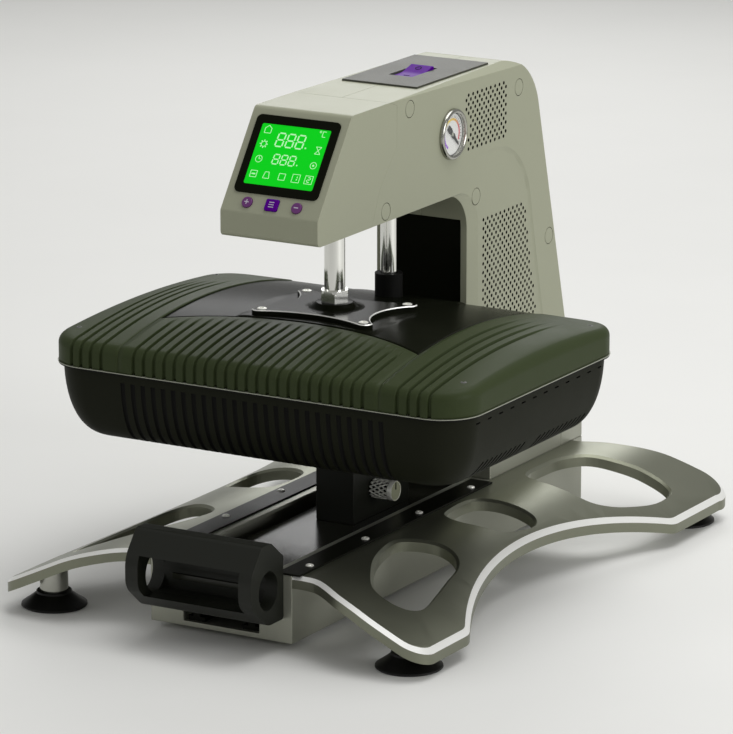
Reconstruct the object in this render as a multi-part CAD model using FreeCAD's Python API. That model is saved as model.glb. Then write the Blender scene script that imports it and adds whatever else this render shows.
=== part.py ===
import FreeCAD, Part
import math
import os

# Pneumatic sublimation heat press, in millimetres.
# Front faces -Y, right is +X, up is +Z. The origin is on the ground, under the middle of the
# whole machine. It stands closed: the heated cover is down on the tub, the carriage is home.

V = FreeCAD.Vector
up = V(0, 0, 1)
along_x = V(1, 0, 0)
along_y = V(0, 1, 0)

# Press centre: the cylinder rod, the cover and the tub share it
press_y = -75.0

# Heated cover
cover_half_w = 250.0
cover_half_d = 179.0
cover_corner_r = 45.0
seam_z = 247.0
trim_h = 2.5
wall_top_z = 275.0
crown_h = 24.0
skin = 3.0
mould_seam_x = 155.5
mould_gap = 0.3
cover_screw_x = 230.5
insert_edge_y = press_y - 97.0
insert_sagitta = 39.0
plateau_z = 297.0

# Base channel and wings
channel_half_w = 85.0
channel_front_y = -306.0
channel_rear_y = 325.0
channel_bottom_z = 7.0
deck_z = 79.5
channel_wall = 4.0
slot_half_w = 57.5
wing_t = 13.0
wing_flat_x = 108.0
wing_bend_r = 177.0
wing_bend_deg = 25.0
wing_tip_x = 254.0
foot_x = 214.0
foot_front_y = -292.0
foot_rear_y = 322.0
cup_r = 35.0

# Column, arm and head shells
shell_half_w = 58.0
shell_t = 3.0
shell_top_z = 523.0
arm_under_z = 398.0
flange_y = 110.0
rim_y = 131.0
arch_r = 43.0
shell_bottom_z = 83.3
face_bottom = V(0, -208.0, 425.5)
face_top = V(0, -138.0, 523.0)
guide_y = press_y + 114.0
rod_r = 11.0
guide_r = 9.0
plug_r = 9.4
running_gap = 0.05

# Display and controls on the sloping face, measured up the face from its lower fold
bezel_w = 100.0
bezel_h = 88.3
bezel_mid = 66.3
screen_w = 82.0
screen_h = 68.5
button_up = 11.6
button_x = 29.5
button_r = 5.9
button_square = 15.0

# Gauge, rocker switch
gauge_y = 72.3
gauge_z = 466.0
gauge_r = 27.6
rocker_y = 90.5
rocker_pivot_z = 517.0
rocker_pin_r = 1.7
rocker_tilt = 8.0

# Carriage
deck_plate_half_w = 50.0
deck_plate_top = 66.6
post_half_w = 23.0
post_front_y = -76.0
post_rear_y = 43.0
tub_rim_z = 246.5
tub_floor_z = 168.0
tub_inset = 4.4
knob_y = -34.0
knob_z = 98.0
knob_r = 11.5


def box(x0, x1, y0, y1, z0, z1):
    return Part.makeBox(x1 - x0, y1 - y0, z1 - z0, V(x0, y0, z0))


def cyl(r, h, x, y, z, direction=up):
    return Part.makeCylinder(r, h, V(x, y, z), direction)


def tube(outer, inner, h, x, y, z, direction=up):
    hole_start = V(x, y, z) - direction * 1.0
    hole = Part.makeCylinder(inner, h + 2.0, hole_start, direction)
    return cyl(outer, h, x, y, z, direction).cut(hole)


def rounded(points, radii):
    """Closed wire through the points, each corner rounded to its radius."""
    n = len(points)
    cut_in = []
    for i in range(n):
        before, here, after = points[i - 1], points[i], points[(i + 1) % n]
        a = (before - here).normalize()
        b = (after - here).normalize()
        half = a.getAngle(b) / 2.0
        run = radii[i] / math.tan(half) if radii[i] else 0.0
        middle = here
        if radii[i]:
            bisector = (a + b).normalize()
            middle = here + bisector * (radii[i] / math.sin(half) - radii[i])
        cut_in.append((here + a * run, middle, here + b * run))
    edges = []
    for i in range(n):
        start, middle, end = cut_in[i]
        if radii[i]:
            edges.append(Part.Arc(start, middle, end).toShape())
        following = cut_in[(i + 1) % n][0]
        if end.distanceToPoint(following) > 1e-6:
            edges.append(Part.makeLine(end, following))
    return Part.Wire(edges)


def inset(points, d, axis):
    """Polygon moved inwards by d, for points listed anticlockwise about the axis."""
    moved = []
    n = len(points)
    for i in range(n):
        before, here, after = points[i - 1], points[i], points[(i + 1) % n]
        a = (here - before).normalize()
        b = (after - here).normalize()
        na = axis.cross(a)
        nb = axis.cross(b)
        moved.append(here + (na + nb) * (d / (1.0 + na.dot(nb))))
    return moved


def prism(wire, direction):
    return Part.Face(wire).extrude(direction)


def rounded_rect(half_w, half_d, r, y, z):
    corners = [V(-half_w, y - half_d, z), V(half_w, y - half_d, z),
               V(half_w, y + half_d, z), V(-half_w, y + half_d, z)]
    return rounded(corners, [r] * 4)


def mirrored(shape):
    return shape.mirror(V(0, 0, 0), along_x)


def save(name, shape):
    shape.exportStep("parts/" + name + ".step")
    print(name, round(shape.Volume), shape.isValid())


# ---------------------------------------------------------------- base

def base_channel():
    body = box(-channel_half_w, channel_half_w, channel_front_y, channel_rear_y, channel_bottom_z, deck_z)
    inner_half = channel_half_w - channel_wall
    hollow = box(-inner_half, inner_half, channel_front_y + 4, channel_rear_y - 4,
                 channel_bottom_z + 5.5, deck_z - channel_wall)
    slot = box(-slot_half_w, slot_half_w, channel_front_y - 1, channel_rear_y - 4, 56.0, deck_z + 1)
    notch = box(-45.5, 45.5, channel_front_y - 1, channel_front_y + 5, channel_bottom_z + 5.5, 57.0)
    return body.cut(hollow).cut(slot).cut(notch)


def wing_profile():
    """Cross-section of the right wing plate: flat root, bend, straight slope to the tip."""
    turn = math.radians(wing_bend_deg)
    half_turn = turn / 2.0
    run = wing_tip_x - wing_flat_x - wing_bend_r * math.sin(turn) + 5.0

    def chain(r, level):
        centre = V(wing_flat_x, 0, deck_z - wing_bend_r)
        top = centre + V(0, 0, r)
        middle = centre + V(r * math.sin(half_turn), 0, r * math.cos(half_turn))
        end = centre + V(r * math.sin(turn), 0, r * math.cos(turn))
        tip = end + V(run, 0, -run * math.tan(turn))
        root = V(channel_half_w + 0.05, 0, level)
        return root, top, middle, end, tip

    a = chain(wing_bend_r, deck_z)
    b = chain(wing_bend_r - wing_t, deck_z - wing_t)
    edges = [Part.makeLine(a[0], a[1]), Part.Arc(a[1], a[2], a[3]).toShape(), Part.makeLine(a[3], a[4]),
             Part.makeLine(a[4], b[4]), Part.makeLine(b[4], b[3]), Part.Arc(b[3], b[2], b[1]).toShape(),
             Part.makeLine(b[1], b[0]), Part.makeLine(b[0], a[0])]
    return Part.Wire(edges)


def wing_outline():
    """Plan of the right wing: two legs with a long hollow curve between their tips."""
    root = channel_half_w
    low = -50.0
    hollow_start = V(wing_tip_x - 3.9, -231.0, low)
    hollow_middle = V(194.0, -8.0, low)
    hollow_end = V(wing_tip_x - 3.9, 215.0, low)
    front_kink = V(wing_tip_x, -246.0, low)
    rear_kink = V(wing_tip_x, 230.0, low)
    front = [V(root, channel_front_y, low), V(112, channel_front_y - 2, low),
             V(150, -329, low), V(185, -337, low), V(228, -338, low)]
    front_edge = Part.BSplineCurve()
    front_edge.interpolate(front)
    rear = [V(214, 368.5, low), V(180, 355, low), V(135, 326, low), V(root, 304, low)]
    rear_edge = Part.BSplineCurve()
    rear_edge.interpolate(rear)
    front_corner = Part.Arc(front[-1], V(248, -328, low), V(wing_tip_x, -308, low)).toShape()
    rear_corner = Part.Arc(V(wing_tip_x, 330, low), V(244, 362, low), rear[0]).toShape()
    edges = [front_edge.toShape(), front_corner, Part.makeLine(V(wing_tip_x, -308, low), front_kink),
             Part.Arc(front_kink, V(wing_tip_x - 1.0, -238.3, low), hollow_start).toShape(),
             Part.Arc(hollow_start, hollow_middle, hollow_end).toShape(),
             Part.Arc(hollow_end, V(wing_tip_x - 1.0, 222.3, low), rear_kink).toShape(),
             Part.makeLine(rear_kink, V(wing_tip_x, 330, low)), rear_corner, rear_edge.toShape(),
             Part.makeLine(rear[-1], front[0])]
    return Part.Wire(edges)


def closed_curve(points):
    curve = Part.BSplineCurve()
    curve.interpolate([V(x, y, -50.0) for x, y in points], PeriodicFlag=True)
    return Part.Wire([curve.toShape()])


def wing_holes():
    """Three soft-cornered openings: front, middle and rear."""
    front = [(149, -252), (127, -208), (115, -165), (114, -139), (130, -124), (152, -116), (172, -123),
             (185, -144), (192, -176), (200, -212), (207, -250), (202, -271), (186, -280), (166, -275)]
    middle = [(108, -24), (104, 4), (105, 28), (113, 41), (132, 48), (157, 50), (174, 45), (181, 29),
              (178, 6), (172, -16), (158, -28), (134, -38), (118, -35)]
    rear = [(107, 160), (106, 198), (110, 230), (126, 258), (156, 272), (184, 284), (208, 285), (221, 272),
            (222, 232), (212, 193), (200, 166), (183, 149), (150, 143), (120, 144)]
    return [closed_curve(front), closed_curve(middle), closed_curve(rear)]


def right_wing():
    length = 760.0
    plate = prism(wing_profile(), along_y * length)
    plate.translate(V(0, -380, 0))
    plate = plate.common(prism(wing_outline(), up * 160.0))
    for hole in wing_holes():
        plate = plate.cut(prism(hole, up * 160.0))
    return plate


def clamp_strip():
    return box(67.0, 94.0, channel_front_y, 101.0, deck_z, deck_z + 2.0)


def button_screw(x, y, z, r=4.6):
    head = Part.makeSphere(r * 1.5, V(0, 0, 0)).common(cyl(r, 10, 0, 0, r * 1.5 * 0.75))
    low = head.BoundBox.ZMin
    head.translate(V(x, y, z - low))
    return head


def strip_screws():
    first = -270.6
    pitch = 113.1
    heads = []
    for side in (-1, 1):
        for i in range(4):
            heads.append(button_screw(side * 85.0, first + i * pitch, deck_z + 2.0))
    return Part.makeCompound(heads)


def wing_under_z(x):
    turn = math.radians(wing_bend_deg)
    end_x = wing_flat_x + (wing_bend_r - wing_t) * math.sin(turn)
    end_z = deck_z - wing_bend_r + (wing_bend_r - wing_t) * math.cos(turn)
    return end_z - (x - end_x) * math.tan(turn)


def foot_stem(x, y):
    stem = cyl(15.0, 50.0, 0, 0, 16.0)
    slope = Part.makeBox(200, 200, 100, V(-100, -100, 0))
    slope.rotate(V(0, 0, 0), along_y, wing_bend_deg)
    slope.translate(V(0, 0, wing_under_z(foot_x)))
    stem = stem.cut(slope)
    if x < 0:
        stem = mirrored(stem)
    stem.translate(V(x, y, 0))
    return stem


def suction_cup(x, y):
    skirt = [V(0, 0, 6), V(cup_r - 8, 0, 1.5), V(cup_r - 6, 0, 0), V(cup_r - 1, 0, 0), V(cup_r, 0, 2.5),
             V(cup_r - 5, 0, 8), V(21, 0, 13), V(17, 0, 15.8), V(0, 0, 15.8)]
    wire = Part.makePolygon(skirt + [skirt[0]])
    cup = Part.Face(wire).revolve(V(0, 0, 0), up, 360)
    cup.translate(V(x, y, 0))
    return cup


def slide_rails():
    rails = []
    for side in (-1, 1):
        foot = box(-10, 10, channel_front_y + 6, channel_rear_y - 6, 12.5, 17.0)
        stem = box(-4, 4, channel_front_y + 6, channel_rear_y - 6, 17.0, 34.0)
        head = box(-7.5, 7.5, channel_front_y + 6, channel_rear_y - 6, 34.0, 42.0)
        rail = foot.fuse(stem).fuse(head).removeSplitter()
        rail.translate(V(side * 33.0, 0, 0))
        rails.append(rail)
    return Part.makeCompound(rails)


def column_base():
    top_z = 118.0
    plate = box(-channel_half_w, channel_half_w, 112, 275, deck_z, deck_z + 3.5)
    side = box(shell_half_w + 0.5, channel_half_w, 112, 275, deck_z, top_z)
    hollow = box(shell_half_w + 3.5, channel_half_w - 3, 115, 276, deck_z - 1, top_z - 3)
    side = side.cut(hollow)
    plate = plate.cut(box(-22, 22, 165, 225, deck_z - 1, deck_z + 5))
    return plate.fuse(side).fuse(mirrored(side)).removeSplitter()


def column_rear_cap():
    block = box(-channel_half_w, channel_half_w, 275.5, channel_rear_y, deck_z + 0.05, 118.0)
    hollow = box(-channel_half_w + 3, channel_half_w - 3, 270, channel_rear_y - 3, deck_z - 1, 115.0)
    passage = box(-shell_half_w - 0.5, shell_half_w + 0.5, 270, 400, shell_bottom_z - 0.5, 130)
    return block.cut(hollow).cut(passage)


# ---------------------------------------------------------------- column, arm and head

def c_frame():
    side = [V(46, 120, deck_z + 3.5), V(46, 255, deck_z + 3.5), V(46, 255, 455), V(46, 228, 500),
            V(46, -112, 500), V(46, -112, 401.2), V(46, 120, 401.2)]
    cheek = prism(rounded(side, [0, 0, 20, 20, 15, 0, 0]), along_x * 4.0)
    lower = box(-50, 50, -112, 255, 401.2, 409)
    back = box(-46, 46, 251, 255, deck_z + 3.5, 450)
    foot = box(-54.8, 54.8, 118, 262, deck_z + 3.5, deck_z + 9.5).cut(box(-22, 22, 165, 225, 80, 95))
    head_plate = box(-50, 50, -97, 220, 500, 504)
    head_plate = head_plate.cut(box(-30, 30, press_y - 10, guide_y + 30, 499, 505))
    head_plate = head_plate.cut(box(-22, 22, 58, 124, 499, 505))
    frame = cheek.fuse([mirrored(cheek), lower, back, foot, head_plate])
    frame = frame.cut(cyl(14.5, 20, 0, press_y, 395))
    frame = frame.cut(cyl(14.05, 20, 0, guide_y, 395))
    frame = frame.cut(cyl(25.0, 10, 43, gauge_y, gauge_z, along_x))
    return frame.removeSplitter()


def shell_corners():
    """Side outline of the column and arm shells, anticlockwise seen from +X."""
    slope = 0.258
    top_rear_y = 270.0 + slope * (453.0 - shell_top_z)
    waist_z = 178.0
    waist_y = 270.0 + slope * (453.0 - waist_z)
    points = [V(0, flange_y, shell_bottom_z), V(0, waist_y, shell_bottom_z), V(0, waist_y, waist_z),
              V(0, top_rear_y, shell_top_z), V(0, -60.0, shell_top_z), V(0, -45.4, 520.5 - 3.0),
              V(0, -45.4, 474.8), V(0, -80.6, 434.7), V(0, -97.2, arm_under_z), V(0, flange_y, arm_under_z)]
    radii = [0, 0, 40, 75, 0, 0, 0, 0, 0, arch_r]
    return points, radii


def arch_opening(x, y):
    points = [V(x, -400, 0), V(x, y, 0), V(x, y, arm_under_z), V(x, -400, arm_under_z)]
    return rounded(points, [0, 0, arch_r, 0])


def edge_facet(depth):
    """Everything outside the sloping facet along the top right edge, set in by depth."""
    start = V(shell_half_w, -60.0, shell_top_z)
    low = V(shell_half_w, 197.0, shell_top_z - 7.0)
    inner = V(shell_half_w - 10.0, 197.0, shell_top_z)
    outward = (low - start).cross(inner - start).normalize()
    if outward.z < 0:
        outward = outward * -1.0
    plane = Part.makePlane(800, 800, V(0, 0, 0))
    plane.translate(V(-400, -400, 0))
    plane.Placement = FreeCAD.Placement(start - outward * depth, FreeCAD.Rotation(up, outward)).multiply(
        plane.Placement)
    return plane.extrude(outward * 60.0)


def gauge_hole():
    return cyl(24.3, 30, 40, gauge_y, gauge_z, along_x)


plug_spots = [(-18.0, 509.0), (-68.0, 409.0), (126.0, 388.0), (221.0, 491.0), (293.0, 312.0)]


def side_shell():
    points, radii = shell_corners()
    outer = prism(rounded(points, radii), along_x * (shell_half_w - 0.15))
    outer.translate(V(0.15, 0, 0))
    inner_points = inset(points, shell_t, along_x)
    # the joint with the head cover and the foot stay open
    inner_points[0].z = inner_points[1].z = shell_bottom_z - 5
    for i in (4, 5, 6, 7, 8):
        inner_points[i].y = inner_points[i].y - 12.0
    inner_points[4].z = shell_top_z - shell_t
    inner_points[5].z = shell_top_z - shell_t - 0.5
    inner_points[8].z = arm_under_z + shell_t
    inner_radii = [0, 0, 37, 72, 0, 0, 0, 0, 0, arch_r + shell_t]
    inner = prism(rounded(inner_points, inner_radii), along_x * (shell_half_w - shell_t + 2))
    inner.translate(V(-2, 0, 0))
    shell = outer.cut(edge_facet(0.0)).cut(inner.cut(edge_facet(shell_t)))
    rim = Part.makeLoft([arch_opening(shell_half_w - 2.5, flange_y), arch_opening(shell_half_w + 0.01, rim_y)],
                        True, True)
    shell = shell.cut(rim)
    shell = shell.cut(box(-1, 48, flange_y - 1, flange_y + 3.3, 0, arm_under_z))
    shell = shell.cut(box(-1, 45.6, 17.8, 174.2, shell_top_z - 1.5, shell_top_z + 1))
    shell = shell.cut(box(-1, 18.2, 58, 124, shell_top_z - 5, shell_top_z + 1))
    shell = shell.cut(cyl(15.0, 6, 0, press_y, arm_under_z - 1))
    shell = shell.cut(cyl(17.0, 6, 0, guide_y, arm_under_z - 1))
    shell = shell.cut(box(-1, 14.5, 330, 350, 107.5, 130.5))
    return shell


def right_side_shell():
    shell = side_shell().cut(gauge_hole())
    for y, z in plug_spots:
        shell = shell.cut(cyl(plug_r + 0.1, 1.5, shell_half_w - 1.2, y, z, along_x))
    shell = shell.cut(cyl(6.2, 20, 34, 325, 119, along_y))
    return shell


def left_side_shell():
    shell = side_shell()
    for y, z in plug_spots:
        shell = shell.cut(cyl(plug_r + 0.1, 1.5, shell_half_w - 1.2, y, z, along_x))
    return mirrored(shell)


def shell_plugs():
    plugs = []
    for y, z in plug_spots:
        plug = cyl(plug_r, 1.3, shell_half_w - 1.2, y, z, along_x)
        plugs.append(plug)
        plugs.append(mirrored(plug))
    return Part.makeCompound(plugs)


face_up = (face_top - face_bottom).normalize()
face_out = V(0, -face_up.z, face_up.y)


def on_face(x, rise, lift=0.0):
    return face_bottom + V(x, 0, 0) + face_up * rise + face_out * lift


def face_block(x0, x1, rise0, rise1, lift0, lift1, r=0.0):
    corners = [on_face(x0, rise0, lift0), on_face(x1, rise0, lift0),
               on_face(x1, rise1, lift0), on_face(x0, rise1, lift0)]
    return prism(rounded(corners, [r] * 4), face_out * (lift1 - lift0))


def nose_cover():
    points = [V(0, -97.2, arm_under_z), V(0, -80.6, 434.7), V(0, -45.4, 474.8), V(0, -45.4, 517.5),
              V(0, -60.0, shell_top_z), face_top, face_bottom, V(0, -208.0, arm_under_z)]
    points = [p + V(0, -0.3, 0) if p.y > -100 else p for p in points]
    outer = prism(rounded(points, [0, 0, 0, 0, 0, 8, 5, 6]), along_x * (2 * shell_half_w))
    outer.translate(V(-shell_half_w, 0, 0))
    inner_points = inset(points, shell_t, along_x)
    for i in range(5):
        inner_points[i].y = inner_points[i].y + 20.0
    inner_points[0].z = arm_under_z + shell_t
    inner_points[4].z = shell_top_z - shell_t
    inner_points[3].z = shell_top_z - shell_t - 0.5
    inner = prism(rounded(inner_points, [0, 0, 0, 0, 0, 5, 2, 3]), along_x * (2 * (shell_half_w - shell_t)))
    inner.translate(V(-shell_half_w + shell_t, 0, 0))
    nose = outer.cut(inner)
    low = bezel_mid - bezel_h / 2.0
    high = bezel_mid + bezel_h / 2.0
    nose = nose.cut(face_block(-bezel_w / 2 - 0.1, bezel_w / 2 + 0.1, low - 0.1, high + 0.1, -1.2, 3.0, 6.0))
    nose = nose.cut(face_block(-screen_w / 2 + 2, screen_w / 2 - 2, low + 12, high - 12, -5, 1, 3.0))
    for x in (-button_x, button_x):
        nose = nose.cut(Part.makeCylinder(button_r + 0.4, 12, on_face(x, button_up, -6), face_out))
    half = button_square / 2 + 0.4
    nose = nose.cut(face_block(-half, half, button_up - half + 1, button_up + half - 1, -6, 6, 2.0))
    return nose


def display_bezel():
    low = bezel_mid - bezel_h / 2.0
    high = bezel_mid + bezel_h / 2.0
    plate = face_block(-bezel_w / 2, bezel_w / 2, low, high, -1.2, 1.6, 6.0)
    window = face_block(-screen_w / 2, screen_w / 2, bezel_mid - screen_h / 2, bezel_mid + screen_h / 2, 0.2, 3.0, 2.0)
    return plate.cut(window)


def lcd_panel():
    gap = 0.05
    return face_block(-screen_w / 2 + gap, screen_w / 2 - gap, bezel_mid - screen_h / 2 + gap,
                      bezel_mid + screen_h / 2 - gap, 0.2, 1.2, 2.0)


def control_board():
    board = face_block(-46, 46, 24, 112, -12.0, -10.4)
    for x, rise in ((-25, 90), (10, 80), (25, 50)):
        board = board.fuse(face_block(x - 8, x + 8, rise - 6, rise + 6, -10.4, -7.0))
    return board.removeSplitter()


def round_button(x):
    return Part.makeCylinder(button_r, 7.5, on_face(x, button_up, -5.5), face_out)


def start_button():
    half = button_square / 2
    return face_block(-half, half, button_up - half + 1, button_up + half - 1, -5.5, 2.0, 2.0)


def top_panel():
    low_z = shell_top_z - 1.5
    panel = box(-45.4, 45.4, 18, 174, low_z, shell_top_z + 2)
    well = box(-17.5, 17.5, 59, 123, 508, low_z)
    opening = box(-14.6, 14.6, 63, 118, 510, 530)
    pivot_pin = cyl(rocker_pin_r, 32, -16, rocker_y, rocker_pivot_z, along_x)
    return panel.fuse(well).cut(opening).fuse(pivot_pin).removeSplitter()


def power_rocker():
    pivot = V(0, rocker_y, rocker_pivot_z)
    points = [V(-13.2, rocker_y - 22, 517.5), V(-13.2, rocker_y, 513.0), V(-13.2, rocker_y + 22, 517.5),
              V(-13.2, rocker_y + 23, 526.0), V(-13.2, rocker_y, 523.2), V(-13.2, rocker_y - 23, 526.0)]
    rocker = prism(rounded(points, [2, 10, 2, 2, 30, 2]), along_x * 26.4)
    rocker.rotate(pivot, along_x, rocker_tilt)
    return rocker.cut(cyl(rocker_pin_r + running_gap, 32, -16, rocker_y, rocker_pivot_z, along_x))


def gauge_case():
    return cyl(24.0, 24.0, 34, gauge_y, gauge_z, along_x).cut(cyl(22.5, 3, 57, gauge_y, gauge_z, along_x))


def gauge_ring():
    ring = tube(gauge_r, 22.8, 4.0, shell_half_w + 0.05, gauge_y, gauge_z, along_x)
    outer_edges = [e for e in ring.Edges if abs(e.BoundBox.XMax - shell_half_w - 4.05) < 0.01]
    return ring.makeChamfer(1.2, outer_edges)


def gauge_dial():
    return cyl(22.4, 0.8, 57.0, gauge_y, gauge_z, along_x)


def gauge_needle():
    hub = cyl(2.4, 1.4, 58.0, 0, 0, along_x)
    points = [V(58.3, -5, -1.2), V(58.3, 16.5, -0.3), V(58.3, 16.5, 0.3), V(58.3, -5, 1.2)]
    needle = hub.fuse(prism(rounded(points, [0, 0, 0, 0]), along_x * 0.8)).removeSplitter()
    needle.rotate(V(0, 0, 0), along_x, -135)
    needle.translate(V(0, gauge_y, gauge_z))
    return needle


def gauge_glass():
    return cyl(22.7, 1.4, 60.0, gauge_y, gauge_z, along_x)


def column_front_panel():
    return box(-54.5, 54.5, flange_y + 3.4, flange_y + 6.4, deck_z + 4.0, arm_under_z - 0.2)


def air_cylinder():
    barrel = tube(29.0, 25.0, 90.0, 0, press_y, 409.05)
    bottom = tube(29.0, rod_r + running_gap, 6.0, 0, press_y, 409.05)
    top = cyl(29.0, 6.0, 0, press_y, 493.05)
    nose = tube(14.0, rod_r + running_gap, 12.0, 0, press_y, 398.0)
    return barrel.fuse([bottom, top, nose]).removeSplitter()


def guide_bush():
    sleeve = tube(14.0, guide_r + running_gap, 46.0, 0, guide_y, 398.0)
    flange = tube(20.0, guide_r + running_gap, 4.0, 0, guide_y, 409.05)
    return sleeve.fuse(flange).removeSplitter()


def vacuum_pump():
    motor = cyl(32.0, 72.0, 0, 195, 100)
    head = box(-40, 40, 160, 230, 172, 200)
    base = box(-36, 36, 150, 238, deck_z + 9.55, 100)
    return motor.fuse([base, head]).removeSplitter()


def power_inlet():
    body = box(-14, 14, 322, 343.5, 108, 130)
    socket = box(-10.5, 10.5, 330, 345, 112, 126)
    pins = [box(x - 1, x + 1, 330, 340, 116, 122) for x in (-6.0, 0.0, 6.0)]
    return body.cut(socket).fuse(pins)


def air_fitting():
    body = cyl(6.0, 30.0, 34, 322, 119, along_y)
    return body.cut(cyl(3.1, 15.0, 34, 340, 119, along_y))


# ---------------------------------------------------------------- lifting cover

def dome_face(drop=0.0):
    """Pillow surface of the cover, highest in the middle and level along its rim."""
    rows = []
    for i in range(-13, 14):
        x = i * 20.0
        row = []
        for j in range(-10, 11):
            y = j * 19.0
            across = max(0.0, 1.0 - abs(x / 254.0) ** 4)
            along = 1.0 - (y / cover_half_d) ** 2
            rise = crown_h * along * math.sqrt(across) if along > 0 else crown_h * along * 0.4
            row.append(V(x, press_y + y, wall_top_z + rise - drop))
        rows.append(row)
    surface = Part.BSplineSurface()
    surface.interpolate(rows)
    return surface.toShape()


def dome_solid(inset_by, drop, low_z):
    below = dome_face(drop).extrude(V(0, 0, -120))
    plan = prism(rounded_rect(cover_half_w - inset_by, cover_half_d - inset_by, cover_corner_r - inset_by,
                              press_y, low_z), up * 90.0)
    return plan.common(below)


def cover_skin():
    low = seam_z + trim_h
    return dome_solid(0.0, 0.0, low).cut(dome_solid(skin, skin, low - 1.0))


def insert_plan(grow):
    """Plan of the glossy insert: between the moulding seams, behind a shallow arc."""
    half = mould_seam_x - mould_gap + grow
    front = insert_edge_y - grow
    rear = press_y + cover_half_d + 20.0
    low = seam_z - 5.0
    arc = Part.Arc(V(-half, front, low), V(0, front + insert_sagitta, low), V(half, front, low)).toShape()
    edges = [arc, Part.makeLine(V(half, front, low), V(half, rear, low)),
             Part.makeLine(V(half, rear, low), V(-half, rear, low)),
             Part.makeLine(V(-half, rear, low), V(-half, front, low))]
    return prism(Part.Wire(edges), up * 90.0)


def cover_pieces():
    whole = cover_skin()
    side = box(mould_seam_x, 300, -400, 300, 200, 400)
    right = whole.common(side)
    for y in cover_screw_rows():
        right = right.fuse(cyl(9.0, 19.0, cover_screw_x, y, 258.0))
        right = right.cut(cyl(6.2, 20.0, cover_screw_x, y, 273.0)).cut(cyl(4.1, 40.0, cover_screw_x, y, 250.0))
    left = mirrored(right)
    middle = whole.common(box(-mould_seam_x + mould_gap, mould_seam_x - mould_gap, -400, 300, 200, 400))
    front = middle.cut(insert_plan(mould_gap))
    insert = middle.common(insert_plan(0.0))
    pad = prism(rounded_rect(82, 64, 20, press_y, plateau_z - 4.0), up * 4.0).common(insert_plan(0.0))
    above = prism(rounded_rect(82, 64, 20, press_y, plateau_z), up * 20.0)
    insert = insert.fuse(pad).cut(above)
    insert = insert.cut(cyl(15.3, 40, 0, guide_y, 260))
    for x, y in spider_spots():
        insert = insert.cut(cyl(3.2, 40, x, y, 280))
    return left, right, front, insert


def cover_trim():
    outer = prism(rounded_rect(cover_half_w + 0.8, cover_half_d + 0.8, cover_corner_r, press_y, seam_z), up * trim_h)
    inner = prism(rounded_rect(cover_half_w - 5, cover_half_d - 5, cover_corner_r - 5, press_y, seam_z - 1), up * 9)
    return outer.cut(inner)


def cover_screw_rows():
    return [press_y - 136.5, press_y + 136.5]


def cover_screws():
    screws = []
    for x in (-cover_screw_x, cover_screw_x):
        for y in cover_screw_rows():
            screws.append(cyl(4.0, 15.0, x, y, 258.1).fuse(cyl(6.0, 4.5, x, y, 273.05)))
    return Part.makeCompound(screws)


def spider_spots():
    return [(x, press_y + y) for x in (-61.5, 61.5) for y in (-46.0, 46.0)]


def spider_plate():
    """Four-armed plate with hollow sides and a raised hub."""
    tip_x, tip_y = 71.0, 54.0
    waist_x, waist_y = 52.0, 40.0
    blunt = 11.0
    z = plateau_z + 0.05
    corners = [(-tip_x, -tip_y), (tip_x, -tip_y), (tip_x, tip_y), (-tip_x, tip_y)]
    waists = [(0, -waist_y), (waist_x, 0), (0, waist_y), (-waist_x, 0)]
    edges = []
    for i in range(4):
        ax, ay = corners[i]
        bx, by = corners[(i + 1) % 4]
        wx, wy = waists[i]
        if i % 2 == 0:
            start = V(ax + math.copysign(blunt, bx - ax), ay, z)
            end = V(bx - math.copysign(blunt, bx - ax), by, z)
        else:
            start = V(ax, ay + math.copysign(blunt, by - ay), z)
            end = V(bx, by - math.copysign(blunt, by - ay), z)
        edges.append(Part.Arc(start, V(wx, wy, z), end).toShape())
        nx, ny = corners[(i + 2) % 4]
        if i % 2 == 0:
            following = V(bx, by + math.copysign(blunt, ny - by), z)
        else:
            following = V(bx + math.copysign(blunt, nx - bx), by, z)
        edges.append(Part.makeLine(end, following))
    plate = prism(Part.Wire(edges), up * 5.0)
    plate.translate(V(0, press_y, 0))
    hub = cyl(21.0, 10.9, 0, press_y, z)
    plate = plate.fuse(hub).removeSplitter().cut(cyl(rod_r + 0.05, 30, 0, press_y, z - 5))
    for x, y in spider_spots():
        plate = plate.cut(cyl(3.2, 20, x, y, z - 5))
    return plate


def spider_screws():
    screws = []
    for x, y in spider_spots():
        shank = cyl(3.0, 24.0, x, y, plateau_z + 5.05 - 24.0)
        screws.append(button_screw(x, y, plateau_z + 5.05, 5.4).fuse(shank))
    return Part.makeCompound(screws)


def lift_rod():
    rod = cyl(rod_r, 130.0, 0, press_y, plateau_z + 0.1)
    piston = cyl(24.9, 10.0, 0, press_y, 417.0)
    return rod.fuse(piston).removeSplitter()


def rod_nut():
    z = plateau_z + 11.0
    points = [V(16.2 * math.cos(math.radians(60 * i)), 16.2 * math.sin(math.radians(60 * i)), z) for i in range(6)]
    nut = prism(rounded(points, [0] * 6), up * 13.0)
    nut = nut.common(Part.makeCone(16.2, 13.0, 30.0, V(0, 0, z), up).fuse(cyl(16.2, 10.0, 0, 0, z)))
    nut.translate(V(0, press_y, 0))
    return nut.cut(cyl(rod_r + 0.05, 30, 0, press_y, z - 5))


def guide_rod():
    return cyl(guide_r, 164.0, 0, guide_y, 286.1)


def guide_collar():
    return tube(15.0, guide_r + 0.05, 30.0, 0, guide_y, 286.05)


def heating_platen():
    plan = rounded_rect(210, 150, 12, press_y, 252.0)
    platen = prism(plan, up * 14.0)
    bosses = [cyl(9.0, 27.0, x, y, 266.0).cut(cyl(3.05, 40, x, y, 270.0)) for x, y in spider_spots()]
    bosses.append(cyl(14.0, 20.0, 0, guide_y, 266.0))
    return platen.fuse(bosses).removeSplitter()


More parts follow.
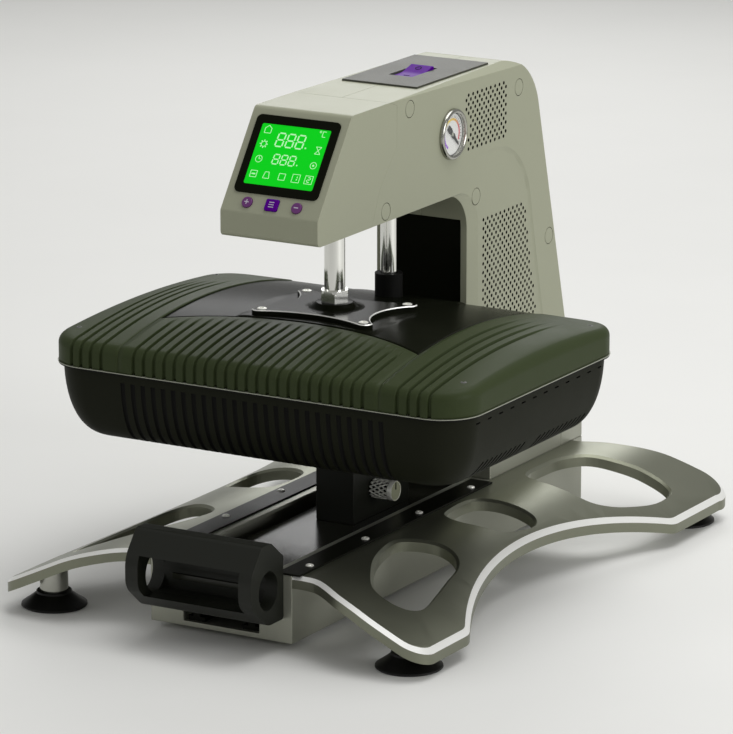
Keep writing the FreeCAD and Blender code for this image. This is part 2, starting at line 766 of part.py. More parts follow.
def insulation_board():
    board = prism(rounded_rect(204, 140, 10, press_y, 266.05), up * 5.0)
    for x, y in spider_spots():
        board = board.cut(cyl(9.3, 20, x, y, 260))
    return board.cut(cyl(14.3, 20, 0, guide_y, 260))


# ---------------------------------------------------------------- carriage

def carriage_plate():
    plate = box(-deck_plate_half_w, deck_plate_half_w, channel_front_y - 14.0, 190.0,
                deck_plate_top - 6.0, deck_plate_top)
    return plate


def carriage_runners():
    runners = []
    for side in (-1, 1):
        for y in (50.0, 165.0):
            block = box(-16, 16, y - 22, y + 22, 24.0, deck_plate_top - 6.05)
            groove = box(-8.0, 8.0, y - 30, y + 30, 33.5, 42.5).fuse(box(-4.5, 4.5, y - 30, y + 30, 20, 35))
            block = block.cut(groove)
            block.translate(V(side * 33.0, 0, 0))
            runners.append(block)
    return Part.makeCompound(runners)


def platen_post():
    wall = 4.0
    z0 = deck_plate_top + 0.05
    z1 = tub_floor_z - 0.05
    post = box(-post_half_w, post_half_w, post_front_y, post_rear_y, z0, z1)
    hollow = box(-post_half_w + wall, post_half_w - wall, post_front_y + wall, post_rear_y - wall, z0 + 6, z1 - 6)
    boss = box(post_half_w - 12, post_half_w, knob_y - 14, knob_y + 14, knob_z - 14, knob_z + 14)
    post = post.cut(hollow).fuse(boss)
    return post.cut(cyl(4.05, 30, post_half_w - 13, knob_y, knob_z, along_x))


def post_knob():
    grip = cyl(knob_r, 28.0, post_half_w + 0.5, knob_y, knob_z, along_x)
    spindle = cyl(4.0, 12.0, post_half_w - 11, knob_y, knob_z, along_x)
    slot = box(post_half_w + 26.5, post_half_w + 30, knob_y - 1, knob_y + 1, knob_z + 1, knob_z + 9)
    return grip.fuse(spindle).cut(slot)


def tub_sections(extra):
    steps = [(0.0, 0.0), (25.7, 3.2), (50.0, 10.3), (66.0, 18.2), (75.0, 25.0), (78.5, 31.0)]
    wires = []
    for depth, inward in steps:
        wires.append(rounded_rect(cover_half_w - tub_inset - inward - extra,
                                  cover_half_d - tub_inset - inward - extra,
                                  cover_corner_r - 2.0 - inward * 0.2 - extra * 0.5,
                                  press_y, tub_rim_z - depth + (extra if depth > 70 else 0.0)))
    return wires


def tub():
    outer = Part.makeLoft(tub_sections(0.0), True, True)
    inner_wires = tub_sections(skin)
    lid = rounded_rect(cover_half_w - tub_inset - skin, cover_half_d - tub_inset - skin,
                       cover_corner_r - 2.0 - skin * 0.5, press_y, tub_rim_z + 2.0)
    inner = Part.makeLoft([lid] + inner_wires[1:], True, True)
    return outer.cut(inner)


def vacuum_tray():
    tray = prism(rounded_rect(215, 152, 14, press_y, 236.0), up * 6.0)
    for x in (-150.0, 0.0, 150.0):
        for y in (press_y - 105.0, press_y + 105.0):
            tray = tray.fuse(cyl(10.0, 66.0, x, y, tub_floor_z + skin + 0.05))
    return tray.removeSplitter()


def silicone_membrane():
    return prism(rounded_rect(232, 162, 20, press_y, 242.05), up * 2.0)


def front_handle():
    rear = channel_front_y - 0.4
    points = [V(-75, rear, 33), V(-75, -338, 33), V(-75, -370, 60), V(-75, -370, 92), V(-75, -348, 119),
              V(-75, -330, 119), V(-75, rear, 100)]
    block = prism(rounded(points, [3, 20, 22, 30, 8, 8, 3]), along_x * 150.0)
    ring = Part.Ellipse(V(-80, -336, 90.5), V(-80, -336 - 18.5, 70), V(-80, -336, 70)).toShape()
    bore = Part.Face(Part.Wire(ring)).extrude(along_x * 160)
    window = box(-60, 60, -380, -318, 50, 95)
    pocket = box(-deck_plate_half_w - 0.2, deck_plate_half_w + 0.2, channel_front_y - 14.2, rear + 1,
                 deck_plate_top - 6.2, deck_plate_top + 0.2)
    return block.cut(bore).cut(window).cut(pocket)


# ---------------------------------------------------------------- export

def main():
    os.makedirs("parts", exist_ok=True)
    save("base_channel", base_channel())
    wing = right_wing()
    save("right_wing", wing)
    save("left_wing", mirrored(wing))
    strip = clamp_strip()
    save("right_clamp_strip", strip)
    save("left_clamp_strip", mirrored(strip))
    save("strip_screws", strip_screws())
    stems = []
    for end, y in (("front", foot_front_y), ("rear", foot_rear_y)):
        for side, x in (("left", -foot_x), ("right", foot_x)):
            save("suction_cup_" + end + "_" + side, suction_cup(x, y))
            stems.append(foot_stem(x, y))
    save("foot_stems", Part.makeCompound(stems))
    save("slide_rails", slide_rails())
    save("column_base", column_base())
    save("column_rear_cap", column_rear_cap())
    save("c_frame", c_frame())
    save("right_side_shell", right_side_shell())
    save("left_side_shell", left_side_shell())
    save("nose_cover", nose_cover())
    save("shell_plugs", shell_plugs())
    save("column_front_panel", column_front_panel())
    save("top_panel", top_panel())
    save("display_bezel", display_bezel())
    save("lcd_panel", lcd_panel())
    save("control_board", control_board())
    save("gauge_case", gauge_case())
    save("gauge_ring", gauge_ring())
    save("gauge_dial", gauge_dial())
    save("gauge_glass", gauge_glass())
    save("air_cylinder", air_cylinder())
    save("guide_bush", guide_bush())
    save("vacuum_pump", vacuum_pump())
    save("power_inlet", power_inlet())
    save("air_fitting", air_fitting())
    save("gauge_needle", gauge_needle())
    save("power_rocker", power_rocker())
    save("button_minus", round_button(button_x))
    save("button_plus", round_button(-button_x))
    save("button_start", start_button())
    left, right, front, insert = cover_pieces()
    save("cover_left", left)
    save("cover_right", right)
    save("cover_front", front)
    save("cover_insert", insert)
    save("cover_trim", cover_trim())
    save("cover_screws", cover_screws())
    save("spider_plate", spider_plate())
    save("spider_screws", spider_screws())
    save("lift_rod", lift_rod())
    save("rod_nut", rod_nut())
    save("guide_rod", guide_rod())
    save("guide_collar", guide_collar())
    save("heating_platen", heating_platen())
    save("insulation_board", insulation_board())
    save("carriage_plate", carriage_plate())
    save("carriage_runners", carriage_runners())
    save("platen_post", platen_post())
    save("tub", tub())
    save("vacuum_tray", vacuum_tray())
    save("silicone_membrane", silicone_membrane())
    save("front_handle", front_handle())
    save("post_knob", post_knob())


main()
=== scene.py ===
import bpy
import bmesh
import math
from mathutils import Matrix, Vector


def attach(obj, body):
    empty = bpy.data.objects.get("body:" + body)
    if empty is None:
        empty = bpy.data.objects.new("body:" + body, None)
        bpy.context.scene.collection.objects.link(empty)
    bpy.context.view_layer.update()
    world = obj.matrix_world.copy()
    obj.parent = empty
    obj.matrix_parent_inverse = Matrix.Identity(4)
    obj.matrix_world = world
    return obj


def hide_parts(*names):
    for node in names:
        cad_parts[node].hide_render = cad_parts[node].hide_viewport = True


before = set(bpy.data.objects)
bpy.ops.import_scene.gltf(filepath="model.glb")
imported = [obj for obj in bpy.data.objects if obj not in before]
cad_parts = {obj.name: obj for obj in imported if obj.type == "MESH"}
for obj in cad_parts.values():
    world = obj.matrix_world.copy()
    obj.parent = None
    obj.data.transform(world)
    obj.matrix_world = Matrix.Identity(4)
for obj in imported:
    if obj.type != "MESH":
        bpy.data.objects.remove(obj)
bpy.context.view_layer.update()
mm = 0.001
pressY = -75.0


class wire:
    # one socket of a node tree, so that sums read as Python expressions
    def __init__(self, end):
        self.end = end
        self.tree = end.id_data

    def sum(self, operation, *others):
        node = self.tree.nodes.new("ShaderNodeMath")
        node.operation = operation
        for socket, value in zip(node.inputs, others):
            if isinstance(value, wire):
                self.tree.links.new(value.end, socket)
            else:
                socket.default_value = value
        return wire(node.outputs[0])

    def __add__(self, other):
        return self.sum("ADD", self, other)

    def __radd__(self, other):
        return self.sum("ADD", other, self)

    def __sub__(self, other):
        return self.sum("SUBTRACT", self, other)

    def __rsub__(self, other):
        return self.sum("SUBTRACT", other, self)

    def __mul__(self, other):
        return self.sum("MULTIPLY", self, other)

    def __rmul__(self, other):
        return self.sum("MULTIPLY", other, self)

    def __truediv__(self, other):
        return self.sum("DIVIDE", self, other)

    def __pow__(self, other):
        return self.sum("POWER", self, other)

    def above(self, other):
        return self.sum("GREATER_THAN", self, other)

    def below(self, other):
        return self.sum("LESS_THAN", self, other)

    def clamped(self):
        node = self.tree.nodes.new("ShaderNodeClamp")
        self.tree.links.new(self.end, node.inputs[0])
        return wire(node.outputs[0])


class sheet:
    # a node tree being drawn
    def __init__(self, tree):
        self.tree = tree

    def make(self, kind, settings=None, values=None, take=0):
        node = self.tree.nodes.new(kind)
        for key, value in (settings or {}).items():
            if key == "stops":
                ramp = node.color_ramp
                while len(ramp.elements) < len(value):
                    ramp.elements.new(1.0)
                for element, (at, colour) in zip(ramp.elements, value):
                    element.position = at
                    element.color = colour
            else:
                setattr(node, key, value)
        for key, value in (values or {}).items():
            if isinstance(value, wire):
                self.tree.links.new(value.end, node.inputs[key])
            else:
                node.inputs[key].default_value = value
        return wire(node.outputs[take])

    def blend(self, factor, first, second):
        return self.make("ShaderNodeMix", {"data_type": "RGBA"}, {0: factor, 6: first, 7: second}, 2)

    def noise(self, place, scale, detail=3.0, rough=0.55):
        return self.make("ShaderNodeTexNoise", None,
                         {"Vector": place, "Scale": scale, "Detail": detail, "Roughness": rough})

    def split(self, place):
        node = self.make("ShaderNodeSeparateXYZ", None, {0: place}).end.node
        return [wire(end) for end in node.outputs]

    def vector(self, x=0.0, y=0.0, z=0.0):
        return self.make("ShaderNodeCombineXYZ", None, {0: x, 1: y, 2: z})

    def moved(self, shape, **values):
        return self.make("GeometryNodeTransform", None, {0: shape, **values})


def rgba(colour, gain=1.0):
    return (colour[0] * gain, colour[1] * gain, colour[2] * gain, 1.0)


def freshMaterial(name):
    material = bpy.data.materials.new(name)
    material.use_nodes = True
    draft = sheet(material.node_tree)
    shader = material.node_tree.nodes["Principled BSDF"]
    place = draft.make("ShaderNodeTexCoord", None, None, 3)
    return material, draft, shader, place


def join(draft, value, shader, socket):
    draft.tree.links.new(value.end, shader.inputs[socket])


def roughen(draft, shader, strength, depth, height):
    bump = draft.make("ShaderNodeBump", None, {"Strength": strength, "Distance": depth, "Height": height})
    join(draft, bump, shader, "Normal")


def finishOf(name, look):
    # a solid-coloured finish: slow tone drift, fine speckle, uneven gloss and a grain that catches light
    material, draft, shader, place = freshMaterial(name)
    drift = draft.noise(place, 9.0, 4.0)
    speck = draft.noise(place, look.get("speckScale", 700.0), 2.0, 0.6)
    tone = (drift - 0.5) * look.get("drift", 0.12) + (speck - 0.5) * look.get("speck", 0.08) + 0.5
    colour = draft.blend(tone.clamped(), rgba(look["colour"], 0.72), rgba(look["colour"], 1.28))
    join(draft, colour, shader, "Base Color")
    smear = draft.noise(place, 26.0, 5.0, 0.6)
    rough = look["rough"] + (smear - 0.5) * look.get("smear", 0.1)
    join(draft, rough.clamped(), shader, "Roughness")
    shader.inputs["Metallic"].default_value = look.get("metal", 0.0)
    shader.inputs["Specular IOR Level"].default_value = look.get("shine", 0.4)
    if look.get("glow"):
        shader.inputs["Emission Color"].default_value = rgba(look["glow"])
        shader.inputs["Emission Strength"].default_value = look.get("glowPower", 1.0)
    grain = draft.noise(place, look.get("grainScale", 1400.0), 2.0)
    roughen(draft, shader, look.get("grain", 0.25), 0.00025, grain)
    return material


def turnedMetal(name, look):
    # bright metal with fine turning lines along one axis
    material, draft, shader, place = freshMaterial(name)
    stretched = draft.make("ShaderNodeMapping", None, {"Vector": place, "Scale": look["lines"]})
    lines = draft.noise(stretched, 1.0, 4.0, 0.65)
    cloud = draft.noise(place, 14.0, 3.0)
    tone = (lines * 0.5 + cloud * 0.5).clamped()
    join(draft, draft.blend(tone, rgba(look["colour"], 0.86), rgba(look["colour"], 1.1)), shader, "Base Color")
    join(draft, (look["rough"] + lines * 0.06).clamped(), shader, "Roughness")
    shader.inputs["Metallic"].default_value = 1.0
    roughen(draft, shader, look.get("grain", 0.1), 0.0001, lines)
    return material


paints = {
    "shellPaint": {"colour": (0.335, 0.345, 0.252), "rough": 0.44, "speck": 0.08, "grain": 0.2, "drift": 0.08,
                   "shine": 0.3},
    "panelGrey": {"colour": (0.066, 0.067, 0.052), "rough": 0.5, "grain": 0.5, "grainScale": 900.0, "shine": 0.25},
    "coverOlive": {"colour": (0.036, 0.048, 0.019), "rough": 0.46, "grain": 0.35, "speck": 0.2, "shine": 0.09,
                   "grainScale": 1100.0},
    "tubCharcoal": {"colour": (0.0125, 0.0135, 0.0080), "rough": 0.5, "grain": 0.4, "speck": 0.2, "shine": 0.05},
    "glossBlack": {"colour": (0.0066, 0.0074, 0.0044), "rough": 0.24, "grain": 0.03, "smear": 0.05, "shine": 0.022},
    "deepBlack": {"colour": (0.004, 0.004, 0.0035), "rough": 0.6, "grain": 0.3, "shine": 0.12},
    "gripBlack": {"colour": (0.0095, 0.0105, 0.0070), "rough": 0.44, "grain": 0.6, "grainScale": 1000.0,
                  "shine": 0.25},
    "stripBlack": {"colour": (0.0075, 0.008, 0.0055), "rough": 0.3, "grain": 0.2, "shine": 0.06},
    "platePolish": {"colour": (0.022, 0.023, 0.016), "rough": 0.2, "grain": 0.05, "shine": 0.3},
    "rubberBlack": {"colour": (0.0045, 0.0045, 0.004), "rough": 0.42, "grain": 0.3, "smear": 0.2, "shine": 0.25},
    "wingSilver": {"colour": (0.215, 0.222, 0.168), "rough": 0.36, "metal": 0.85, "speck": 0.3, "speckScale": 2400.0,
                   "grain": 0.1, "drift": 0.06},
    "boxSilver": {"colour": (0.36, 0.365, 0.305), "rough": 0.42, "metal": 0.6, "speck": 0.4, "speckScale": 2400.0,
                  "grain": 0.12},
    # near-white chamfer finish: the polished edge's own brightness plus a painted highlight
    "polishAndHighlightEdge": {"colour": (0.90, 0.90, 0.87), "rough": 0.34, "metal": 0.35, "grain": 0.05, "speck": 0.04},
    "trimGrey": {"colour": (0.34, 0.35, 0.29), "rough": 0.4, "metal": 0.3, "grain": 0.1},
    "knobGrey": {"colour": (0.30, 0.31, 0.21), "rough": 0.4, "metal": 0.2, "grain": 0.1},
    "ridgeSilver": {"colour": (0.95, 0.95, 0.88), "rough": 0.34, "metal": 0.3, "grain": 0.05},
    "mutedPurple": {"colour": (0.145, 0.04, 0.17), "rough": 0.4, "grain": 0.05, "shine": 0.25},
    "purpleGloss": {"colour": (0.088, 0.0, 0.25), "rough": 0.42, "grain": 0.05, "shine": 0.04},
    "screenGreen": {"colour": (0.0, 0.42, 0.008), "rough": 0.3, "grain": 0.02, "glow": (0.0, 0.80, 0.010),
                    "glowPower": 0.42, "speck": 0.02, "shine": 0.15},
    "screenWhite": {"colour": (0.42, 0.80, 0.42), "rough": 0.4, "glow": (0.50, 0.95, 0.50), "glowPower": 0.42,
                    "shine": 0.1},
    "markWhite": {"colour": (0.55, 0.50, 0.60), "rough": 0.4},
    "cardGreen": {"colour": (0.02, 0.12, 0.04), "rough": 0.4},
    "siliconeOrange": {"colour": (0.62, 0.16, 0.04), "rough": 0.5, "grain": 0.2, "drift": 0.2},
    "fibreBoard": {"colour": (0.62, 0.58, 0.48), "rough": 0.85, "grain": 0.8, "grainScale": 500.0},
    "castGrey": {"colour": (0.12, 0.12, 0.12), "rough": 0.5, "metal": 0.4, "grain": 0.5},
    "needleBlack": {"colour": (0.006, 0.006, 0.006), "rough": 0.4, "shine": 0.1},
}
metals = {
    "chrome": {"colour": (0.82, 0.82, 0.78), "rough": 0.05, "lines": (900, 900, 14), "grain": 0.03},
    "chromeAcross": {"colour": (0.40, 0.40, 0.36), "rough": 0.16, "lines": (14, 900, 900), "grain": 0.05},
    "groundSteel": {"colour": (0.50, 0.50, 0.48), "rough": 0.3, "lines": (30, 700, 700)},
    "plateAluminium": {"colour": (0.72, 0.72, 0.70), "rough": 0.32, "lines": (700, 24, 700)},
    "brass": {"colour": (0.68, 0.48, 0.20), "rough": 0.25, "lines": (900, 20, 900)},
}
stock = {name: finishOf(name, look) for name, look in paints.items()}
stock.update({name: turnedMetal(name, look) for name, look in metals.items()})


def dialFinish(look):
    # white face with a coloured working arc, worked out from the angle round the spindle
    material, draft, shader, place = freshMaterial("dialFace")
    east, north, height = draft.split(place)
    away = north - look["y"] * mm
    rise = height - look["z"] * mm
    radius = (away * away + rise * rise) ** 0.5 * 1000.0
    turn = away.sum("ARCTAN2", away, rise) * (180.0 / math.pi)
    band = radius.above(look["arcInner"]) * radius.below(look["arcOuter"])
    colour = draft.make("ShaderNodeValToRGB", {"stops": look["stops"]}, {0: (turn + 180.0) / 360.0})
    paper = draft.blend(draft.noise(place, 900.0), rgba((0.74, 0.74, 0.72)), rgba((0.82, 0.82, 0.80)))
    join(draft, draft.blend(band * turn.above(-150.0) * turn.below(120.0), paper, colour), shader, "Base Color")
    shader.inputs["Roughness"].default_value = 0.4
    return material


dialLook = {"y": 72.3, "z": 466.0, "arcInner": 14.6, "arcOuter": 17.2,
            "stops": [(0.0, (0.25, 0.05, 0.6, 1)), (0.22, (0.25, 0.05, 0.6, 1)), (0.30, (0.75, 0.75, 0.72, 1)),
                      (0.42, (0.8, 0.62, 0.08, 1)), (0.56, (0.75, 0.45, 0.05, 1)), (0.68, (0.65, 0.05, 0.08, 1))]}
stock["dialFace"] = dialFinish(dialLook)


def clearGlass():
    material, draft, shader, place = freshMaterial("clearGlass")
    shader.inputs["Base Color"].default_value = (0.95, 0.97, 0.96, 1)
    shader.inputs["Alpha"].default_value = 0.05
    shader.inputs["Specular IOR Level"].default_value = 0.15
    smear = draft.noise(place, 90.0, 3.0)
    join(draft, 0.02 + smear * 0.04, shader, "Roughness")
    return material


stock["clearGlass"] = clearGlass()
print("finishes ready:", len(stock))


def addPiece(name, body, mesh, finishes, node=None):
    # puts a mesh on a body with its finishes, in place of a node if one is named
    piece = bpy.data.objects.new(name, mesh)
    bpy.context.scene.collection.objects.link(piece)
    keep = [face.material_index for face in mesh.polygons]
    mesh.materials.clear()
    for finish in finishes:
        mesh.materials.append(stock[finish])
    mesh.polygons.foreach_set("material_index", [min(index, len(finishes) - 1) for index in keep])
    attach(piece, body)
    if node:
        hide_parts(node)
    return piece


def softShade(mesh, angle=32.0):
    for face in mesh.polygons:
        face.use_smooth = True
    mesh.set_sharp_from_angle(angle=math.radians(angle))


def meshFrom(name, build, angle=32.0):
    # build is a bmesh drawn in millimetres
    bmesh.ops.remove_doubles(build, verts=build.verts, dist=0.002)
    bmesh.ops.recalc_face_normals(build, faces=build.faces)
    bmesh.ops.scale(build, vec=(mm, mm, mm), verts=build.verts)
    mesh = bpy.data.meshes.new(name)
    build.to_mesh(mesh)
    build.free()
    softShade(mesh, angle)
    return mesh


def settle(piece):
    # the modifiers' result becomes the piece's own mesh
    graph = bpy.context.evaluated_depsgraph_get()
    graph.update()
    mesh = bpy.data.meshes.new_from_object(piece.evaluated_get(graph))
    piece.modifiers.clear()
    piece.data = mesh
    return mesh


def cadMesh(node):
    build = bmesh.new()
    build.from_mesh(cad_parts[node].data)
    bmesh.ops.remove_doubles(build, verts=build.verts, dist=2e-6)
    bmesh.ops.dissolve_limit(build, angle_limit=math.radians(0.6), verts=build.verts, edges=build.edges)
    mesh = bpy.data.meshes.new(node + "Skin")
    build.to_mesh(mesh)
    build.free()
    return mesh


def evenNormals(piece):
    # broad flats keep their own direction, so the eased edges shade cleanly beside them
    even = piece.modifiers.new("even", "WEIGHTED_NORMAL")
    even.weight = 80
    even.keep_sharp = True
    settle(piece)


def easedCopy(node, name, body, slot, finishes, edge=0.8, angle=30.0, rounds=2, even=True):
    # the solid's own shape with its edges eased and its flats clean
    piece = addPiece(name, body, cadMesh(node), finishes, node)
    if edge:
        bevel = piece.modifiers.new("ease", "BEVEL")
        bevel.width = edge * mm
        bevel.segments = rounds
        bevel.limit_method = "ANGLE"
        bevel.angle_limit = math.radians(angle)
        bevel.use_clamp_overlap = True
        bevel.miter_outer = "MITER_ARC"
    settle(piece)
    softShade(piece.data, 30.0)
    if even:
        evenNormals(piece)
    return piece


def easedCopies(body, parts):
    for node, (name, slot, finish, *easing) in parts.items():
        easedCopy(node, name, body, slot, [finish], *easing)


def turned(build, outline, at, axis="z", steps=64):
    # outline is (radius, height) pairs, spun round an axis through the given point
    turns = {"z": Matrix.Identity(3), "x": Matrix.Rotation(math.pi / 2, 3, "Y"),
             "y": Matrix.Rotation(-math.pi / 2, 3, "X")}
    rings = []
    for radius, height in outline:
        if radius < 1e-6:
            rings.append([build.verts.new(Vector(at) + turns[axis] @ Vector((0, 0, height)))])
            continue
        ring = []
        for i in range(steps):
            a = 2 * math.pi * i / steps
            local = Vector((radius * math.cos(a), radius * math.sin(a), height))
            ring.append(build.verts.new(Vector(at) + turns[axis] @ local))
        rings.append(ring)
    for low, high in zip(rings, rings[1:]):
        for i in range(steps):
            j = (i + 1) % steps
            if len(low) == 1:
                build.faces.new([low[0], high[j], high[i]])
            elif len(high) == 1:
                build.faces.new([low[i], low[j], high[0]])
            else:
                build.faces.new([low[i], low[j], high[j], high[i]])


def throughPoints(points, closed=False, steps=5):
    # a smooth line through the points
    result = []
    n = len(points)
    for i in range(n if closed else n - 1):
        near = [(i + k) % n if closed else min(max(i + k, 0), n - 1) for k in (-1, 0, 1, 2)]
        p = [Vector(points[k]) for k in near]
        for s in range(steps):
            t = s / steps
            result.append(0.5 * (2 * p[1] + (p[2] - p[0]) * t + (2 * p[0] - 5 * p[1] + 4 * p[2] - p[3]) * t * t
                                 + (3 * p[1] - p[0] - 3 * p[2] + p[3]) * t ** 3))
    if not closed:
        result.append(Vector(points[-1]))
    return result


def arcThrough(a, b, c, steps):
    # circle arc from a to c by way of b, all in the XY plane
    a, b, c = Vector(a), Vector(b), Vector(c)
    d = 2 * (a.x * (b.y - c.y) + b.x * (c.y - a.y) + c.x * (a.y - b.y))
    ux = (a.dot(a) * (b.y - c.y) + b.dot(b) * (c.y - a.y) + c.dot(c) * (a.y - b.y)) / d
    uy = (a.dot(a) * (c.x - b.x) + b.dot(b) * (a.x - c.x) + c.dot(c) * (b.x - a.x)) / d
    centre = Vector((ux, uy))
    radius = (a - centre).length
    start = math.atan2(a.y - uy, a.x - ux)
    middle = math.atan2(b.y - uy, b.x - ux)
    end = math.atan2(c.y - uy, c.x - ux)

    def after(angle, turnWay):
        gap = (angle - start) * turnWay
        return gap % (2 * math.pi)

    way = 1 if after(middle, 1) < after(end, 1) else -1
    sweep = after(end, way)
    return [centre + radius * Vector((math.cos(start + way * sweep * i / steps),
                                      math.sin(start + way * sweep * i / steps))) for i in range(steps + 1)]


def ringAt(build, points, z):
    return [build.verts.new((p.x, p.y, z)) for p in points]


def band(build, low, high, finish=0):
    # a strip of quads between two closed rings
    n = len(low)
    for i in range(n):
        j = (i + 1) % n
        face = build.faces.new([low[i], low[j], high[j], high[i]])
        face.material_index = finish


def fill(build, *rings):
    # a flat face inside the first ring, with the other rings left open
    edges = [build.edges.get([ring[i - 1], ring[i]]) for ring in rings for i in range(len(ring))]
    bmesh.ops.triangle_fill(build, use_beauty=True, edges=edges)


def prism(build, base, cap):
    build.faces.new(base)
    build.faces.new(list(reversed(cap)))
    band(build, base, cap)


def roundedLoop(halfWide, halfDeep, radius, middleY, steps=10):
    loop = []
    for sx, sy, begin in ((1, -1, -90), (1, 1, 0), (-1, 1, 90), (-1, -1, 180)):
        for i in range(steps + 1):
            a = math.radians(begin + 90.0 * i / steps)
            loop.append(Vector((sx * (halfWide - radius) + radius * math.cos(a),
                                middleY + sy * (halfDeep - radius) + radius * math.sin(a))))
    return loop


def newTree(name, inputs):
    # every tree grows its geometry on spots, and ends with the finish
    tree = bpy.data.node_groups.new(name, "GeometryNodeTree")
    tree.interface.new_socket(name="Geometry", in_out="INPUT", socket_type="NodeSocketGeometry")
    tree.interface.new_socket(name="Geometry", in_out="OUTPUT", socket_type="NodeSocketGeometry")
    for label, kind, value in inputs:
        socket = tree.interface.new_socket(name=label, in_out="INPUT", socket_type="NodeSocket" + kind)
        socket.default_value = value
    tree.interface.new_socket(name="Finish", in_out="INPUT", socket_type="NodeSocketMaterial")
    entry = tree.nodes.new("NodeGroupInput")
    ends = {end.name: wire(end) for end in entry.outputs if end.name}
    return sheet(tree), ends


def closeTree(draft, ends, shape):
    # one of the shape on every spot, turned where the tree has a turn
    values = {"Points": ends["Geometry"], "Instance": shape}
    if "Turn" in ends:
        values["Rotation"] = draft.make("FunctionNodeEulerToRotation", None, {0: ends["Turn"]})
    whole = draft.make("GeometryNodeInstanceOnPoints", None, values)
    whole = draft.make("GeometryNodeRealizeInstances", None, {0: whole})
    whole = draft.make("GeometryNodeSetMaterial", None, {0: whole, "Material": ends["Finish"]})
    draft.tree.links.new(whole.end, draft.tree.nodes.new("NodeGroupOutput").inputs[0])
    return draft.tree


def joined(draft, *parts):
    node = draft.tree.nodes.new("GeometryNodeJoinGeometry")
    for part in parts:
        draft.tree.links.new(part.end, node.inputs[0])
    return wire(node.outputs[0])


def grown(name, tree, spots, finish, values):
    # runs a tree over a mesh of spots and hands back the plain mesh
    base = bpy.data.meshes.new(name + "Spots")
    base.from_pydata([Vector(p) * mm for p in spots], [], [])
    holder = bpy.data.objects.new(name + "Holder", base)
    bpy.context.scene.collection.objects.link(holder)
    grow = holder.modifiers.new("grow", "NODES")
    grow.node_group = tree
    ids = {item.name: item.identifier for item in tree.interface.items_tree if item.in_out == "INPUT"}
    grow[ids["Finish"]] = stock[finish]
    for label, value in values.items():
        grow[ids[label]] = value
    graph = bpy.context.evaluated_depsgraph_get()
    graph.update()
    mesh = bpy.data.meshes.new_from_object(holder.evaluated_get(graph))
    bpy.data.objects.remove(holder)
    mesh.name = name
    softShade(mesh)
    return mesh


def screwTree():
    # a low dome head with a hexagon socket
    draft, ends = newTree("socketScrews", [("Head Radius", "Float", 0.005), ("Head Height", "Float", 0.002),
                                           ("Socket Radius", "Float", 0.0022)])
    radius, height = ends["Head Radius"], ends["Head Height"]
    rim = draft.make("GeometryNodeMeshCylinder", None, {"Vertices": 28, "Radius": radius, "Depth": height * 0.5})
    rim = draft.moved(rim, Translation=draft.vector(z=height * 0.25))
    crown = draft.make("GeometryNodeMeshCone", None, {"Vertices": 28, "Radius Bottom": radius,
                                                      "Radius Top": radius * 0.72, "Depth": height * 0.5})
    crown = draft.moved(crown, Translation=draft.vector(z=height * 0.5))
    head = draft.make("GeometryNodeMeshBoolean", {"operation": "UNION"}, {1: joined(draft, rim, crown)})
    key = draft.make("GeometryNodeMeshCylinder", None,
                     {"Vertices": 6, "Radius": ends["Socket Radius"], "Depth": height})
    key = draft.moved(key, Translation=draft.vector(z=height * 0.95))
    head = draft.make("GeometryNodeMeshBoolean", {"operation": "DIFFERENCE"}, {0: head, 1: key})
    return closeTree(draft, ends, head)


def punchTree():
    draft, ends = newTree("punches", [("Radius", "Float", 0.0015), ("Depth", "Float", 0.008), ("Sides", "Int", 12),
                                      ("Turn", "Vector", (0, 0, 0))])
    punch = draft.make("GeometryNodeMeshCylinder", None,
                       {"Vertices": ends["Sides"], "Radius": ends["Radius"], "Depth": ends["Depth"]})
    return closeTree(draft, ends, punch)


def fluteTree():
    # a round-bottomed cutter that follows the tub's section
    draft, ends = newTree("flutes", [("Radius", "Float", 0.0026), ("Start", "Vector", (0, 0, 0)),
                                     ("Start Handle", "Vector", (0, 0, 0)), ("End Handle", "Vector", (0, 0, 0)),
                                     ("End", "Vector", (0, 0, 0))])
    path = draft.make("GeometryNodeCurvePrimitiveBezierSegment", {"mode": "POSITION"},
                      {"Resolution": 26, "Start": ends["Start"], "Start Handle": ends["Start Handle"],
                       "End Handle": ends["End Handle"], "End": ends["End"]})
    ring = draft.make("GeometryNodeCurvePrimitiveCircle", {"mode": "RADIUS"},
                      {"Resolution": 12, "Radius": ends["Radius"]})
    flute = draft.make("GeometryNodeCurveToMesh", None, {0: path, 1: ring, "Fill Caps": True})
    return closeTree(draft, ends, flute)


def slotTree():
    # a thin block, for louvres and drain slots
    draft, ends = newTree("slots", [("Size", "Vector", (0.004, 0.008, 0.0015)), ("Turn", "Vector", (0, 0, 0))])
    return closeTree(draft, ends, draft.make("GeometryNodeMeshCube", None, {"Size": ends["Size"]}))


def fanned(draft, count, shape, angles):
    # the shape repeated round its own centre, each copy with its own turn
    row = draft.make("GeometryNodeMeshLine", None, {"Count": count, "Offset": (0, 0, 0)})
    turn = draft.make("FunctionNodeEulerToRotation", None, {0: angles})
    return draft.make("GeometryNodeInstanceOnPoints", None, {"Points": row, "Instance": shape, "Rotation": turn})


